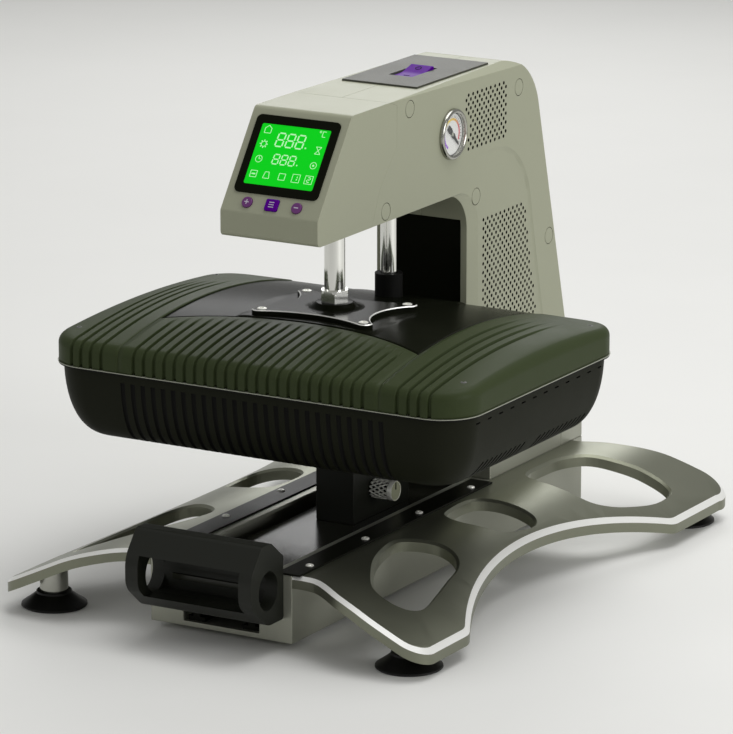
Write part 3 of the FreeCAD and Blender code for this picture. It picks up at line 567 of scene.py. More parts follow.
def knurlTree():
    # crossed spiral ridges round a grip that lies along X
    draft, ends = newTree("knurl", [("Starts", "Int", 16), ("Radius", "Float", 0.0113), ("Length", "Float", 0.024),
                                    ("Twist", "Float", 0.32), ("Ridge", "Float", 0.0006)])
    ring = draft.make("GeometryNodeCurvePrimitiveCircle", {"mode": "RADIUS"},
                      {"Resolution": 5, "Radius": ends["Ridge"]})
    bands = []
    for reverse in (False, True):
        spiral = draft.make("GeometryNodeCurveSpiral", None,
                            {"Resolution": 40, "Rotations": ends["Twist"], "Start Radius": ends["Radius"],
                             "End Radius": ends["Radius"], "Height": ends["Length"], "Reverse": reverse})
        ridge = draft.make("GeometryNodeCurveToMesh", None, {0: spiral, 1: ring, "Fill Caps": True})
        angle = draft.make("GeometryNodeInputIndex") * (2 * math.pi) / ends["Starts"]
        bands.append(fanned(draft, ends["Starts"], ridge, draft.vector(z=angle)))
    return closeTree(draft, ends, draft.moved(joined(draft, *bands), Rotation=(0, math.pi / 2, 0)))


def tickTree():
    # graduations fanned round a dial that faces +X
    draft, ends = newTree("ticks", [("Count", "Int", 21), ("From", "Float", -2.356), ("Step", "Float", 0.2356),
                                    ("Inner", "Float", 0.0175), ("Length", "Float", 0.0025),
                                    ("Width", "Float", 0.0004)])
    tick = draft.make("GeometryNodeMeshCube", None, {"Size": draft.vector(0.0001, ends["Width"], ends["Length"])})
    tick = draft.moved(tick, Translation=draft.vector(z=ends["Inner"] + ends["Length"] * 0.5))
    angle = ends["From"] + draft.make("GeometryNodeInputIndex") * ends["Step"]
    return closeTree(draft, ends, fanned(draft, ends["Count"], tick, draft.vector(x=angle)))


screws, punches, flutes = screwTree(), punchTree(), fluteTree()
slots, knurl, ticks = slotTree(), knurlTree(), tickTree()
print("node trees ready")


def paintedShadeCut(mesh):
    # the faces a cutter leaves take the piece's second finish, a black that paints shade inside holes, slots and
    # flutes
    mesh.materials.append(mesh.materials[0])
    mesh.polygons.foreach_set("material_index", [1] * len(mesh.polygons))
    return mesh


def carve(piece, cutters):
    # cuts one or more grown meshes out of a piece
    holders = []
    for mesh in cutters:
        holder = bpy.data.objects.new("cutter", mesh)
        bpy.context.scene.collection.objects.link(holder)
        cut = piece.modifiers.new("cut", "BOOLEAN")
        cut.operation = "DIFFERENCE"
        cut.solver = "EXACT"
        cut.object = holder
        holders.append(holder)
    settle(piece)
    for holder in holders:
        bpy.data.objects.remove(holder)


cameraLook = {"place": (2.6512, -4.5837, 1.5793), "right": (0.86523, 0.50138, 0.0), "lens": 251.6,
              "up": (-0.12468, 0.21517, 0.96859), "back": (0.48563, -0.83805, 0.24868)}


def setCamera(look):
    camera = bpy.data.objects.new("viewCamera", bpy.data.cameras.new("viewCamera"))
    bpy.context.scene.collection.objects.link(camera)
    turn = Matrix((look["right"], look["up"], look["back"])).transposed()
    camera.matrix_world = Matrix.Translation(look["place"]) @ turn.to_4x4()
    camera.data.sensor_width = 36.0
    camera.data.lens = look["lens"]
    camera.data.clip_start = 0.5
    camera.data.clip_end = 40.0
    bpy.context.scene.camera = camera


setCamera(cameraLook)

lampLook = {"top": {"place": (0.5, 0.5, 2.6), "aim": (0, 0, 0.3), "size": 1.8, "power": 34.0},
            "right": {"place": (3.2, -0.2, 1.2), "aim": (0, 0, 0.4), "size": 1.4, "power": 34.0},
            "left": {"place": (-2.6, -1.8, 1.2), "aim": (0, 0, 0.3), "size": 1.2, "power": 6.0},
            "back": {"place": (-1.4, 2.8, 1.9), "aim": (0, 0, 0.3), "size": 1.6, "power": 26.0}}


def setLamps(look):
    for name, lamp in look.items():
        light = bpy.data.lights.new(name + "Lamp", "AREA")
        light.size = lamp["size"]
        light.energy = lamp["power"]
        holder = bpy.data.objects.new(name + "Lamp", light)
        holder.location = lamp["place"]
        aim = Vector(lamp["aim"]) - Vector(lamp["place"])
        holder.rotation_euler = aim.to_track_quat("-Z", "Y").to_euler()
        bpy.context.scene.collection.objects.link(holder)
    world = bpy.data.worlds.new("studio")
    world.use_nodes = True
    sky = world.node_tree.nodes["Background"]
    sky.inputs["Color"].default_value = (0.9, 0.9, 0.88, 1)
    sky.inputs["Strength"].default_value = 0.42
    bpy.context.scene.world = world
    bpy.context.scene.view_settings.view_transform = "Standard"


setLamps(lampLook)


def layFloor():
    build = bmesh.new()
    bmesh.ops.create_grid(build, x_segments=2, y_segments=2, size=9000.0)
    floor = bpy.data.objects.new("floor", meshFrom("floor", build))
    bpy.context.scene.collection.objects.link(floor)
    material, draft, shader, place = freshMaterial("floorPaper")
    paper = draft.noise(place, 3.0)
    join(draft, draft.blend(paper, (0.80, 0.80, 0.78, 1), (0.84, 0.84, 0.82, 1)), shader, "Base Color")
    shader.inputs["Roughness"].default_value = 0.75
    floor.data.materials.append(material)


layFloor()
print("camera, lamps and floor ready")


# the cover is a pillow-shaped skin with flutes running over its front shoulder
coverLook = {"halfWide": 250.0, "halfDeep": 179.0, "corner": 45.0, "shoulder": 9.0, "foot": 249.6, "rim": 275.0,
             "crown": 24.0, "seam": 155.5, "gap": 0.35, "arcFront": -97.0, "arcRise": 39.0, "wall": 2.4,
             "fluteDepth": 3.0, "centreFlutes": 23, "centreEdge": 137.0, "cheekFlutes": (177.0, 190.0, 202.0, 214.0),
             "crownReach": 254.0, "frontFade": (3.0, 30.0), "cheekFade": (-20.0, 120.0)}
insertLook = {"drop": 0.9, "padHalf": (78.0, 60.0), "padEase": 5.0, "padTop": 296.9, "spineHalf": 58.0,
              "spineEase": 4.0, "spineRise": 1.5, "spineFrom": (-10.0, 2.0)}
shoulderSteps = (0.0, 0.15, 0.6, 1.3, 2.3, 3.6, 5.2, 7.0, 9.0)


def coverEdge(x):
    # half depth of the cover's plan at x
    corner = coverLook["corner"]
    run = min(max(abs(x) - coverLook["halfWide"] + corner, 0.0), corner)
    return coverLook["halfDeep"] - corner + math.sqrt(corner ** 2 - run * run)


def edgeDistance(x, y):
    # distance in from the outline, and the way out of it
    corner = coverLook["corner"]
    dx = abs(x) - (coverLook["halfWide"] - corner)
    dy = abs(y) - (coverLook["halfDeep"] - corner)
    if dx > 0 and dy > 0:
        away = math.hypot(dx, dy)
        return corner - away, Vector((math.copysign(dx / away, x), math.copysign(dy / away, y), 0))
    if dx > dy:
        return corner - dx, Vector((math.copysign(1, x), 0, 0))
    return corner - dy, Vector((0, math.copysign(1, y), 0))


def crownHeight(x, y):
    look = coverLook
    across = max(0.0, 1.0 - abs(x / look["crownReach"]) ** 4)
    return look["rim"] + look["crown"] * (1.0 - (y / look["halfDeep"]) ** 2) * math.sqrt(across)


def smooth(low, high, value):
    t = min(max((value - low) / (high - low), 0.0), 1.0)
    return t * t * (3 - 2 * t)


def arcEdge(x):
    # front edge of the glossy insert
    half, rise = coverLook["seam"], coverLook["arcRise"]
    radius = (half * half + rise * rise) / (2 * rise)
    return coverLook["arcFront"] + rise - (radius - math.sqrt(radius * radius - x * x))


def coverPoint(x, y, lines, fade, drop=0.0):
    distance, out = edgeDistance(x, y)
    r = coverLook["shoulder"]
    lean = min(max((r - distance) / r, 0.0), 1.0)
    z = crownHeight(x, y) - drop - (r - math.sqrt(max(r * r - (lean * r) ** 2, 0.0)))
    point = Vector((x, y + pressY, z))
    flute = max((1.0 - smooth(1.0, 2.5, abs(x - line)) for line in lines), default=0.0)
    depth = flute * fade(x, y) * coverLook["fluteDepth"]
    return point - (out * lean + Vector((0, 0, math.sqrt(max(1 - lean * lean, 0.0))))) * depth


def spacedColumns(low, high, lines, pitch, edges=()):
    # the patch's columns in x, crowded where a flute dips
    count = max(2, int((high - low) / pitch))
    marks = {low, high}.union(low + (high - low) * i / count for i in range(count + 1))
    for line in lines:
        marks = {m for m in marks if abs(m - line) > 3.4 or m in (low, high)}
    for line in lines:
        marks.update(line + d for d in (-2.9, -2.5, -2.0, -1.5, -1.0, 0.0, 1.0, 1.5, 2.0, 2.5, 2.9))
    marks.update(edges)
    return sorted(m for m in marks if low - 1e-6 <= m <= high + 1e-6)


def skinPatch(name, columns, near, far, lines, fade, height, side):
    # near and far give the patch's ends in depth at x; side says which borders turn down into a wall
    build = bmesh.new()
    grid = []
    for x in columns:
        first, last = [near(x)], [far(x)]
        if side != "back":
            first = [near(x) + s for s in shoulderSteps]
        if side != "front":
            last = [far(x) - s for s in reversed(shoulderSteps)]
        count = 46
        middle = [first[-1] + (last[0] - first[-1]) * i / count for i in range(1, count)]
        grid.append([build.verts.new(height(x, y, lines, fade)) for y in first + middle + last])
    for left, right in zip(grid, grid[1:]):
        for j in range(len(left) - 1):
            build.faces.new([left[j], right[j], right[j + 1], left[j + 1]])
    front = [column[0] for column in grid]
    back = [column[-1] for column in reversed(grid)]
    border = {"front": front, "back": back, "right": front + grid[-1][1:-1] + back,
              "left": back + grid[0][-2:0:-1] + front}[side]
    upper, steps = border, 5
    for k in range(1, steps + 1):
        lower = [build.verts.new((v.co.x, v.co.y, v.co.z + (coverLook["foot"] - v.co.z) * k / steps))
                 for v in border]
        for i in range(len(border) - 1):
            build.faces.new([upper[i], upper[i + 1], lower[i + 1], lower[i]])
        upper = lower
    return meshFrom(name, build, 40.0)


def coverPiece(name, node, finish, mesh):
    # a skin with a wall, on the lifting head
    piece = addPiece(name, "heat_cover", mesh, [finish], node)
    wall = piece.modifiers.new("wall", "SOLIDIFY")
    wall.thickness = coverLook["wall"] * mm
    wall.offset = -1.0
    wall.use_even_offset = False
    settle(piece)


def frontFade(x, y):
    # the centre flutes run out just short of the insert
    return smooth(*coverLook["frontFade"], arcEdge(x) - y)


def cheekFade(x, y):
    return 1.0 - smooth(*coverLook["cheekFade"], y)


def insertHeight(x, y, lines, fade):
    # the insert lies a little lower, with a flat pad for the spider and a raised spine behind it
    look = insertLook
    point = coverPoint(x, y, lines, fade, look["drop"])
    wide, deep = look["padHalf"]
    pad = 1.0 - smooth(0.0, look["padEase"], max(abs(x) - wide, abs(y) - deep))
    spine = (1.0 - smooth(0.0, look["spineEase"], abs(x) - look["spineHalf"])) * smooth(*look["spineFrom"], y)
    point.z += (look["padTop"] - point.z) * pad
    point.z += look["spineRise"] * spine * (1.0 - pad)
    return point


def makeCover():
    half, edge = coverLook["halfWide"], coverLook["centreEdge"]
    seam, gap = coverLook["seam"], coverLook["gap"]
    count = coverLook["centreFlutes"] - 1
    centreLines = [-edge + 2 * edge / count * i for i in range(count + 1)]
    sideSteps = [half - s for s in shoulderSteps] + [half - 12, half - 16, half - 20]
    columns = spacedColumns(seam + gap, half, coverLook["cheekFlutes"], 4.0, sideSteps)
    for side, way in (("right", 1), ("left", -1)):
        name = "cover" + side.capitalize() + "Skin"
        lines = [way * line for line in coverLook["cheekFlutes"]]
        skin = skinPatch(name, sorted(way * x for x in columns), lambda x: -coverEdge(x), coverEdge, lines,
                         cheekFade, coverPoint, side)
        coverPiece(name, "cover_" + side, "coverOlive", skin)
    skin = skinPatch("coverFrontSkin", spacedColumns(-seam, seam, centreLines, 6.2), lambda x: -coverEdge(x),
                     lambda x: arcEdge(x) - gap, centreLines, frontFade, coverPoint, "front")
    coverPiece("coverFrontSkin", "cover_front", "coverOlive", skin)
    skin = skinPatch("coverInsertSkin", spacedColumns(-seam, seam, (), 4.0), lambda x: arcEdge(x) + gap, coverEdge,
                     (), frontFade, insertHeight, "back")
    coverPiece("coverInsertSkin", "cover_insert", "glossBlack", skin)


def makeTrim():
    # a thin bright line over a dark lip, all round the cover's lower edge
    look = coverLook
    build = bmesh.new()
    rings = []
    for out, z in ((-5.0, 247.0), (0.2, 247.0), (0.2, 248.5), (0.75, 248.6), (0.8, 249.4), (-5.0, 249.45)):
        loop = roundedLoop(look["halfWide"] + out, look["halfDeep"] + out, look["corner"] + min(out, 0.0), pressY, 14)
        rings.append(ringAt(build, loop, z))
    for k, low in enumerate(rings):
        band(build, low, rings[(k + 1) % len(rings)], 1 if k in (2, 3, 4) else 0)
    addPiece("coverTrim", "heat_cover", meshFrom("coverTrim", build), ["deepBlack", "trimGrey"],
             "cover_trim")


makeCover()
makeTrim()
print("cover skins ready")


# the tub is one section carried round a rounded rectangle, fluted at the front
tubLook = {"halfWide": 245.6, "halfDeep": 174.6, "corner": 43.0, "rim": 246.5, "steps": 22, "wall": 3.0,
           "first": -153.4, "pitch": 12.38, "count": 26, "fluteRadius": 3.0, "fluteOut": 0.6,
           "notch": {"count": 12, "first": -132.0, "pitch": 24.0, "z": 238.6, "size": (0.006, 0.008, 0.0016)},
           "louvre": {"rows": ((-180.0, 10), (-57.0, 11)), "pitch": 9.9, "in": 17.0, "z": 183.0, "lean": -30.0,
                      "size": (0.028, 0.0032, 0.0155)},
           "start": (0.0, 0.0), "startHandle": (0.5, -32.0), "endHandle": (9.0, -78.0), "end": (40.0, -78.5)}


def tubSection(t):
    a, b = Vector(tubLook["start"]), Vector(tubLook["startHandle"])
    c, d = Vector(tubLook["endHandle"]), Vector(tubLook["end"])
    return a * (1 - t) ** 3 + b * 3 * t * (1 - t) ** 2 + c * 3 * t * t * (1 - t) + d * t ** 3


def makeTub():
    look = tubLook
    build = bmesh.new()
    outside, inside = [], []
    for i in range(look["steps"] + 1):
        t = i / look["steps"]
        along = tubSection(min(t + 0.01, 1.0)) - tubSection(max(t - 0.01, 0.0))
        across = Vector((-along.y, along.x)).normalized() * look["wall"]
        outside.append(tuple(tubSection(t)))
        inside.append((outside[-1][0] + across.x, min(outside[-1][1] + across.y, 0.0)))
    section = list(reversed(inside)) + outside
    rings = []
    for inset, z in section:
        loop = roundedLoop(look["halfWide"] - inset, look["halfDeep"] - inset,
                           max(look["corner"] - inset * 0.6, 10.0), pressY, 12)
        rings.append(ringAt(build, loop, look["rim"] + z))
    for upper, lower in zip(rings, rings[1:]):
        band(build, upper, lower)
    build.faces.new(rings[0])
    build.faces.new(list(reversed(rings[-1])))
    piece = addPiece("tubBody", "carriage", meshFrom("tubBody", build),
                     ["tubCharcoal", "deepBlack"], "tub")

    def frontSection(key, drop):
        inset, z = look[key]
        front = pressY - look["halfDeep"] - look["fluteOut"]
        return Vector((0.0, front + inset, look["rim"] + z - drop)) * mm

    values = {"Radius": look["fluteRadius"] * mm, "Start": frontSection("start", 8.5),
              "Start Handle": frontSection("startHandle", 0.0), "End Handle": frontSection("endHandle", 1.2),
              "End": frontSection("end", 2.2)}
    spots = [(look["first"] + look["pitch"] * i, 0, 0) for i in range(look["count"])]
    cutters = [grown("tubFlutes", flutes, spots, "deepBlack", values)]
    side, notch, louvre = look["halfWide"], look["notch"], look["louvre"]
    spots = [(s * (side - 1.0), pressY + notch["first"] + notch["pitch"] * i, notch["z"])
             for s in (-1, 1) for i in range(notch["count"])]
    cutters.append(grown("tubNotches", slots, spots, "deepBlack", {"Size": notch["size"]}))
    for s in (-1, 1):
        spots = [(s * (side - louvre["in"]), first + louvre["pitch"] * i, louvre["z"])
                 for first, count in louvre["rows"] for i in range(count)]
        cutters.append(grown("tubLouvres", slots, spots, "deepBlack",
                             {"Size": louvre["size"], "Turn": (math.radians(louvre["lean"]), 0.0, 0.0)}))
    # flutes, notches and louvres come out black: painted shade in the grooves and slots
    carve(piece, [paintedShadeCut(mesh) for mesh in cutters])
    softShade(piece.data)
    evenNormals(piece)


makeTub()
print("tub ready")


# a wing has a curved plan with three openings and a chamfered edge painted near-white for its polish and a painted
# highlight, and bends down towards its tip
wingLook = {"flat": 108.0, "bend": 177.0, "angle": 25.0, "top": 79.5, "thick": 13.0, "chamfer": 5.0,
            "chamferDrop": 3.4, "holeChamfer": 3.0, "holeDrop": 2.6, "root": 85.05, "rootStep": 2.0,
            "crossCuts": (108.0, 4.2, 19), "lengthCuts": (-320.0, 27.0, 26),
            "holes": ([(149, -252), (127, -208), (115, -165), (114, -139), (130, -124), (152, -116), (172, -123),
                       (185, -144), (192, -176), (200, -212), (207, -250), (202, -271), (186, -280), (166, -275)],
                      [(108, -24), (104, 4), (105, 28), (113, 41), (132, 48), (157, 50), (174, 45), (181, 29),
                       (178, 6), (172, -16), (158, -28), (134, -38), (118, -35)],
                      [(107, 160), (106, 198), (110, 230), (126, 258), (156, 272), (184, 284), (208, 285),
                       (221, 272), (222, 232), (212, 193), (200, 166), (183, 149), (150, 143), (120, 144)])}


def wingTopAt(x):
    look = wingLook
    turn = math.radians(look["angle"])
    bendEnd = look["flat"] + look["bend"] * math.sin(turn)
    centre = look["top"] - look["bend"]
    if x <= look["flat"]:
        return look["top"], 1.0
    if x <= bendEnd:
        rise = math.sqrt(look["bend"] ** 2 - (x - look["flat"]) ** 2)
        return centre + rise, look["bend"] / rise
    return centre + look["bend"] * math.cos(turn) - (x - bendEnd) * math.tan(turn), 1 / math.cos(turn)


def wingPlan():
    root = wingLook["root"]
    loop = [Vector((root, -306))]
    loop += throughPoints([(root, -306), (112, -308), (150, -329), (185, -337), (228, -338)], False, 6)[1:]
    loop += arcThrough((228, -338), (248, -328), (254, -308), 10)[1:]
    loop += arcThrough((254, -246), (253.0, -238.3), (250.1, -231), 6)
    loop += arcThrough((250.1, -231), (194, -8), (250.1, 215), 44)[1:]
    loop += arcThrough((250.1, 215), (253.0, 222.3), (254, 230), 6)[1:]
    loop += arcThrough((254, 330), (244, 361), (214, 368.4), 12)
    loop += throughPoints([(214, 368.4), (180, 355), (135, 326), (root, 304)], False, 7)[1:]
    return loop


def handed(loop):
    # above zero when the loop runs anticlockwise
    return sum(a.x * b.y - b.x * a.y for a, b in zip(loop, loop[1:] + loop[:1]))


def offsetLoop(loop, by):
    # moves a loop to its own left by the distance given
    moved = []
    n = len(loop)
    for i in range(n):
        before, here, after = loop[i - 1], loop[i], loop[(i + 1) % n]
        a = (here - before).normalized()
        b = (after - here).normalized()
        na, nb = Vector((-a.y, a.x)), Vector((-b.y, b.x))
        bisector = na + nb
        moved.append(here + bisector * (by / max(1.0 + na.dot(nb), 0.5)))
    return moved


def makeWing(name, node, side):
    look = wingLook
    build = bmesh.new()
    outer = wingPlan()
    inner = offsetLoop(outer, look["chamfer"])
    for p, q in zip(inner, outer):
        if q.x < look["root"] + 0.45:
            p.x = q.x
            p.y = q.y - math.copysign(look["rootStep"], q.y)
    crests, lows = [], []

    def border(wide, line, drop, finish):
        crest, edge = ringAt(build, wide, 0.0), ringAt(build, line, -drop)
        lows.append(ringAt(build, line, -look["thick"]))
        crests.append(crest)
        band(build, edge, crest, finish)
        band(build, lows[-1], edge)

    # the outer chamfer takes the near-white finish: polished edge plus painted highlight
    border(inner, outer, look["chamferDrop"], 1)
    for hole in look["holes"]:
        line = throughPoints([Vector(p) for p in hole], True, 5)
        if handed(line) > 0:
            line.reverse()
        border(offsetLoop(line, look["holeChamfer"]), line, look["holeDrop"], 0)
    fill(build, *crests)
    fill(build, *lows)
    for way, (first, pitch, count) in ((Vector((1, 0, 0)), look["crossCuts"]),
                                       (Vector((0, 1, 0)), look["lengthCuts"])):
        for i in range(count):
            geometry = build.verts[:] + build.edges[:] + build.faces[:]
            bmesh.ops.bisect_plane(build, geom=geometry, plane_co=way * (first + pitch * i), plane_no=way,
                                   dist=0.001)
    for vertex in build.verts:
        height, stretch = wingTopAt(vertex.co.x)
        vertex.co.z = height + vertex.co.z * stretch
        vertex.co.x *= side
    evenNormals(addPiece(name, "base", meshFrom(name, build, 28.0),
                         ["wingSilver", "polishAndHighlightEdge"], node))


makeWing("wingRight", "right_wing", 1)
makeWing("wingLeft", "left_wing", -1)
print("wings ready")


footLook = {"x": 214.0, "front": -292.0, "rear": 322.0,
            "cup": ((0, 5.0), (24, 3.2), (27.5, 0.6), (30, 0.0), (33.2, 0.0), (34.8, 1.2), (34.6, 2.8), (31.5, 5.0),
                    (27.0, 8.0), (22.5, 11.4), (20.0, 13.4), (19.0, 14.2), (18.6, 16.4), (17.6, 17.2), (0, 17.2))}


def makeFeet():
    for end in ("front", "rear"):
        for side, way in (("left", -1), ("right", 1)):
            spot = (way * footLook["x"], footLook[end], 0)
            build = bmesh.new()
            turned(build, footLook["cup"], spot)
            name = "cup" + end.capitalize() + side.capitalize()
            addPiece(name, "base", meshFrom(name, build), ["rubberBlack"],
                     "suction_cup_" + end + "_" + side)


makeFeet()


def screwRow(name, body, node, finish, spots, head, height, socket):
    heads = grown(name, screws, spots, finish,
                  {"Head Radius": head * mm, "Head Height": height * mm, "Socket Radius": socket * mm})
    addPiece(name, body, heads, [finish], node)


def makeBase():
    easedCopies("base", {
        "base_channel": ("baseChannel", "silver_aluminium", "boxSilver", 0.9),
        "left_clamp_strip": ("leftDeckStrip", "charcoal_steel", "stripBlack", 0.6),
        "right_clamp_strip": ("rightDeckStrip", "charcoal_steel", "stripBlack", 0.6),
        "column_base": ("columnBase", "silver_aluminium", "boxSilver", 2.0, 30.0, 3),
        "column_rear_cap": ("columnRearCap", "silver_aluminium", "boxSilver", 2.0, 30.0, 3)})
    spots = [(s * 85.0, -270.6 + 113.1 * i, 81.45) for s in (-1, 1) for i in range(4)]
    screwRow("deckScrews", "base", "strip_screws", "ridgeSilver", spots, 4.2, 1.7, 1.7)


makeBase()

knobLook = {"y": -34.0, "z": 98.0, "outline": ((0, 23.4), (9.4, 23.4), (9.4, 44.6), (10.4, 45.0), (10.9, 45.4),
                                               (10.9, 50.4), (10.5, 51.1), (9.9, 51.2), (9.6, 50.8), (0, 50.8)),
            "collar": 0.0445, "face": 0.0506}


def makeCarriage():
    easedCopies("carriage", {
        "carriage_plate": ("carriagePlate", "charcoal_steel", "platePolish", 0.5),
        "platen_post": ("platenPost", "dark_plastic", "gripBlack", 1.5),
        "front_handle": ("frontHandle", "dark_plastic", "gripBlack", 4.5, 22.0, 4)})
    look = knobLook
    build = bmesh.new()
    turned(build, look["outline"], (0, look["y"], look["z"]), "x", 48)
    mesh = meshFrom("knobCore", build)
    for face in mesh.polygons:
        if face.center.x > look["collar"]:
            face.material_index = 1 if face.center.x > look["face"] and face.normal.x > 0.9 else 2
    piece = addPiece("knobCore", "knob", mesh, ["deepBlack", "knobGrey", "ridgeSilver"], "post_knob")
    carve(piece, [grown("knobSlot", slots, [(51.0, look["y"], look["z"] + 5.5)], "deepBlack",
                        {"Size": (0.004, 0.0024, 0.008)})])
    softShade(piece.data)
    ridges = grown("knobKnurl", knurl, [(24.0, look["y"], look["z"])], "ridgeSilver",
                   {"Starts": 13, "Radius": 0.0096, "Length": 0.0204, "Twist": 0.17, "Ridge": 0.00095})
    addPiece("knobKnurl", "knob", ridges, ["ridgeSilver"])


makeCarriage()
print("base and carriage ready")


columnLook = {"side": 58.0, "holeRadius": 2.0, "holePitch": 9.75,
              "vent": {"y": 108.4, "z": 501.8, "lowerDrop": 1.2, "gaugeClear": 37.0},
              "recess": {"slope": 4.0, "rate": 0.0175,
                         "step": [(100, 424), (112, 431), (145, 434), (179, 433), (202, 427.5), (225, 412),
                                  (241, 390), (248, 372), (257, 330), (266, 290), (282, 220), (300, 140)],
                         "rest": [(312, 74), (96, 74), (96, 300), (98, 400)]},
              "upper": [(103, 444), (103, 504), (192, 504), (192, 440), (103, 440)],
              "lower": [(138, 364), (238, 364), (266, 232), (138, 232)],
              "plugPocket": 9.8, "plugOutline": ((0, 56.9), (8.9, 56.9), (8.9, 57.85), (8.5, 58.1), (0, 58.1)),
              "plugs": ((-18.0, 509.0), (-68.0, 409.0), (126.0, 388.0), (221.0, 491.0), (293.0, 312.0))}


def insideOf(point, outline):
    inside = False
    for (ax, ay), (bx, by) in zip(outline, outline[1:] + outline[:1]):
        if (ay > point[1]) != (by > point[1]):
            if point[0] < (bx - ax) * (point[1] - ay) / (by - ay) + ax:
                inside = not inside
    return inside


def perforation(side):
    look, vent = columnLook, columnLook["vent"]
    spots = []
    for phase in (0.0, 0.5):
        for i in range(-2, 20):
            for j in range(0, 32):
                y = vent["y"] + (i + phase) * look["holePitch"]
                z = vent["z"] - (j + phase) * look["holePitch"]
                nearGauge = math.hypot(y - dialLook["y"], z - dialLook["z"]) < vent["gaugeClear"]
                if insideOf((y, z), look["upper"]) and not nearGauge:
                    spots.append((side * (look["side"] - 1.5), y, z))
                z -= vent["lowerDrop"]
                if insideOf((y, z), look["lower"]):
                    spots.append((side * (look["side"] - 1.5), y, z))
    return spots


def sideRecess(way):
    # the lower side stands back a little behind a soft curved step, deepest beside the step
    look = columnLook["recess"]
    outer = throughPoints([Vector(p) for p in look["step"]], False, 6) + [Vector(p) for p in look["rest"]]
    if handed(outer) < 0:
        outer.reverse()
    inner = offsetLoop(outer, look["slope"])
    build = bmesh.new()
    floorRing, lipRing, topRing = [], [], []
    for p, q in zip(inner, outer):
        deep = look["rate"] * (0.9 * (p.x - 131.0) + 0.25 * (p.y - 400.0))
        floorRing.append(build.verts.new((way * (58.0 - deep), p.x, p.y)))
        lipRing.append(build.verts.new((way * max(58.04, 58.08 - deep), q.x, q.y)))
        topRing.append(build.verts.new((way * 62.0, q.x, q.y)))
    band(build, floorRing, lipRing)
    band(build, lipRing, topRing)
    fill(build, floorRing)
    fill(build, topRing)
    return meshFrom("sideRecess", build)


def crispSide(mesh):
    # keeps a crisp line where the flat side meets its border bands
    build = bmesh.new()
    build.from_mesh(mesh)
    for edge in build.edges:
        if min(abs(v.co.x) for v in edge.verts) > (columnLook["side"] - 0.01) * mm and edge.is_manifold:
            if edge.calc_face_angle() > math.radians(3.0):
                edge.smooth = False
    build.to_mesh(mesh)
    build.free()


def makeColumn():
    for side, way in (("left", -1), ("right", 1)):
        name = side + "Shell"
        piece = easedCopy(side + "_side_shell", name, "base", "grey_green_shell", ["shellPaint", "deepBlack"], 1.3,
                          34.0, 3, False)
        # plug pockets and the shell's inward faces take deepBlack: painted shade in the pockets and behind the
        # perforation
        for face in piece.data.polygons:
            around = [math.hypot(face.center.y / mm - y, face.center.z / mm - z) for y, z in columnLook["plugs"]]
            out = abs(face.center.x) / mm
            inPocket = min(around) < columnLook["plugPocket"] and 56.0 < out < 57.7
            if inPocket or (face.normal.x * way < -0.9 and out > 50.0):
                face.material_index = 1
        holes = grown(name + "Punch", punches, perforation(way), "deepBlack",
                      {"Radius": columnLook["holeRadius"] * mm, "Depth": 0.009, "Sides": 12,
                       "Turn": (0.0, math.pi / 2, 0.0)})
        # the perforation holes come out black: painted shade inside them
        carve(piece, [sideRecess(way), paintedShadeCut(holes)])
        softShade(piece.data, 30.0)
        crispSide(piece.data)
        evenNormals(piece)
    easedCopies("base", {
        "nose_cover": ("noseCover", "grey_green_shell", "shellPaint", 1.3, 34.0, 3),
        "column_front_panel": ("columnFrontPanel", "dark_plastic", "glossBlack", 0.4),
        "top_panel": ("topPanel", "dark_plastic", "panelGrey", 0.5)})
    plugs = bmesh.new()
    for way in (-1, 1):
        outline = [(radius, way * x) for radius, x in columnLook["plugOutline"]]
        for y, z in columnLook["plugs"]:
            turned(plugs, outline, (0, y, z), "x", 40)
    addPiece("screwPlugs", "base", meshFrom("screwPlugs", plugs), ["shellPaint"], "shell_plugs")


makeColumn()
print("column ready")


# the display and its buttons are laid out on the sloping face, as distances across it and up it
faceLow = Vector((0, -208.0, 425.5))
faceTop = Vector((0, -138.0, 523.0))
faceUp = (faceTop - faceLow).normalized()
faceOut = Vector((0, -faceUp.z, faceUp.y))


def onFace(x, rise, lift=0.0):
    return faceLow + Vector((x, 0, 0)) + faceUp * rise + faceOut * lift


def facePrism(build, outline, low, high):
    prism(build, *([build.verts.new(onFace(x, r, lift)) for x, r in outline] for lift in (low, high)))


def bar(x0, r0, x1, r1, width):
    # a straight stroke between two points, as an outline
    a, b = Vector((x0, r0)), Vector((x1, r1))
    along = (b - a).normalized()
    across = Vector((-along.y, along.x)) * width / 2
    return [tuple(p) for p in (a - across, b - across, b + across, a + across)]


def box(x0, r0, x1, r1):
    return [(x0, r0), (x1, r0), (x1, r1), (x0, r1)]


def disc(x, r, radius, steps=20):
    return [(x + radius * math.cos(2 * math.pi * i / steps), r + radius * math.sin(2 * math.pi * i / steps))
            for i in range(steps)]


def markPiece(name, body, finish, outlines, low, high):
    build = bmesh.new()
    for outline in outlines:
        facePrism(build, outline, low, high)
    addPiece(name, body, meshFrom(name, build), [finish])


def loopStroke(points, width):
    return [bar(*a, *b, width) for a, b in zip(points, points[1:] + points[:1])]


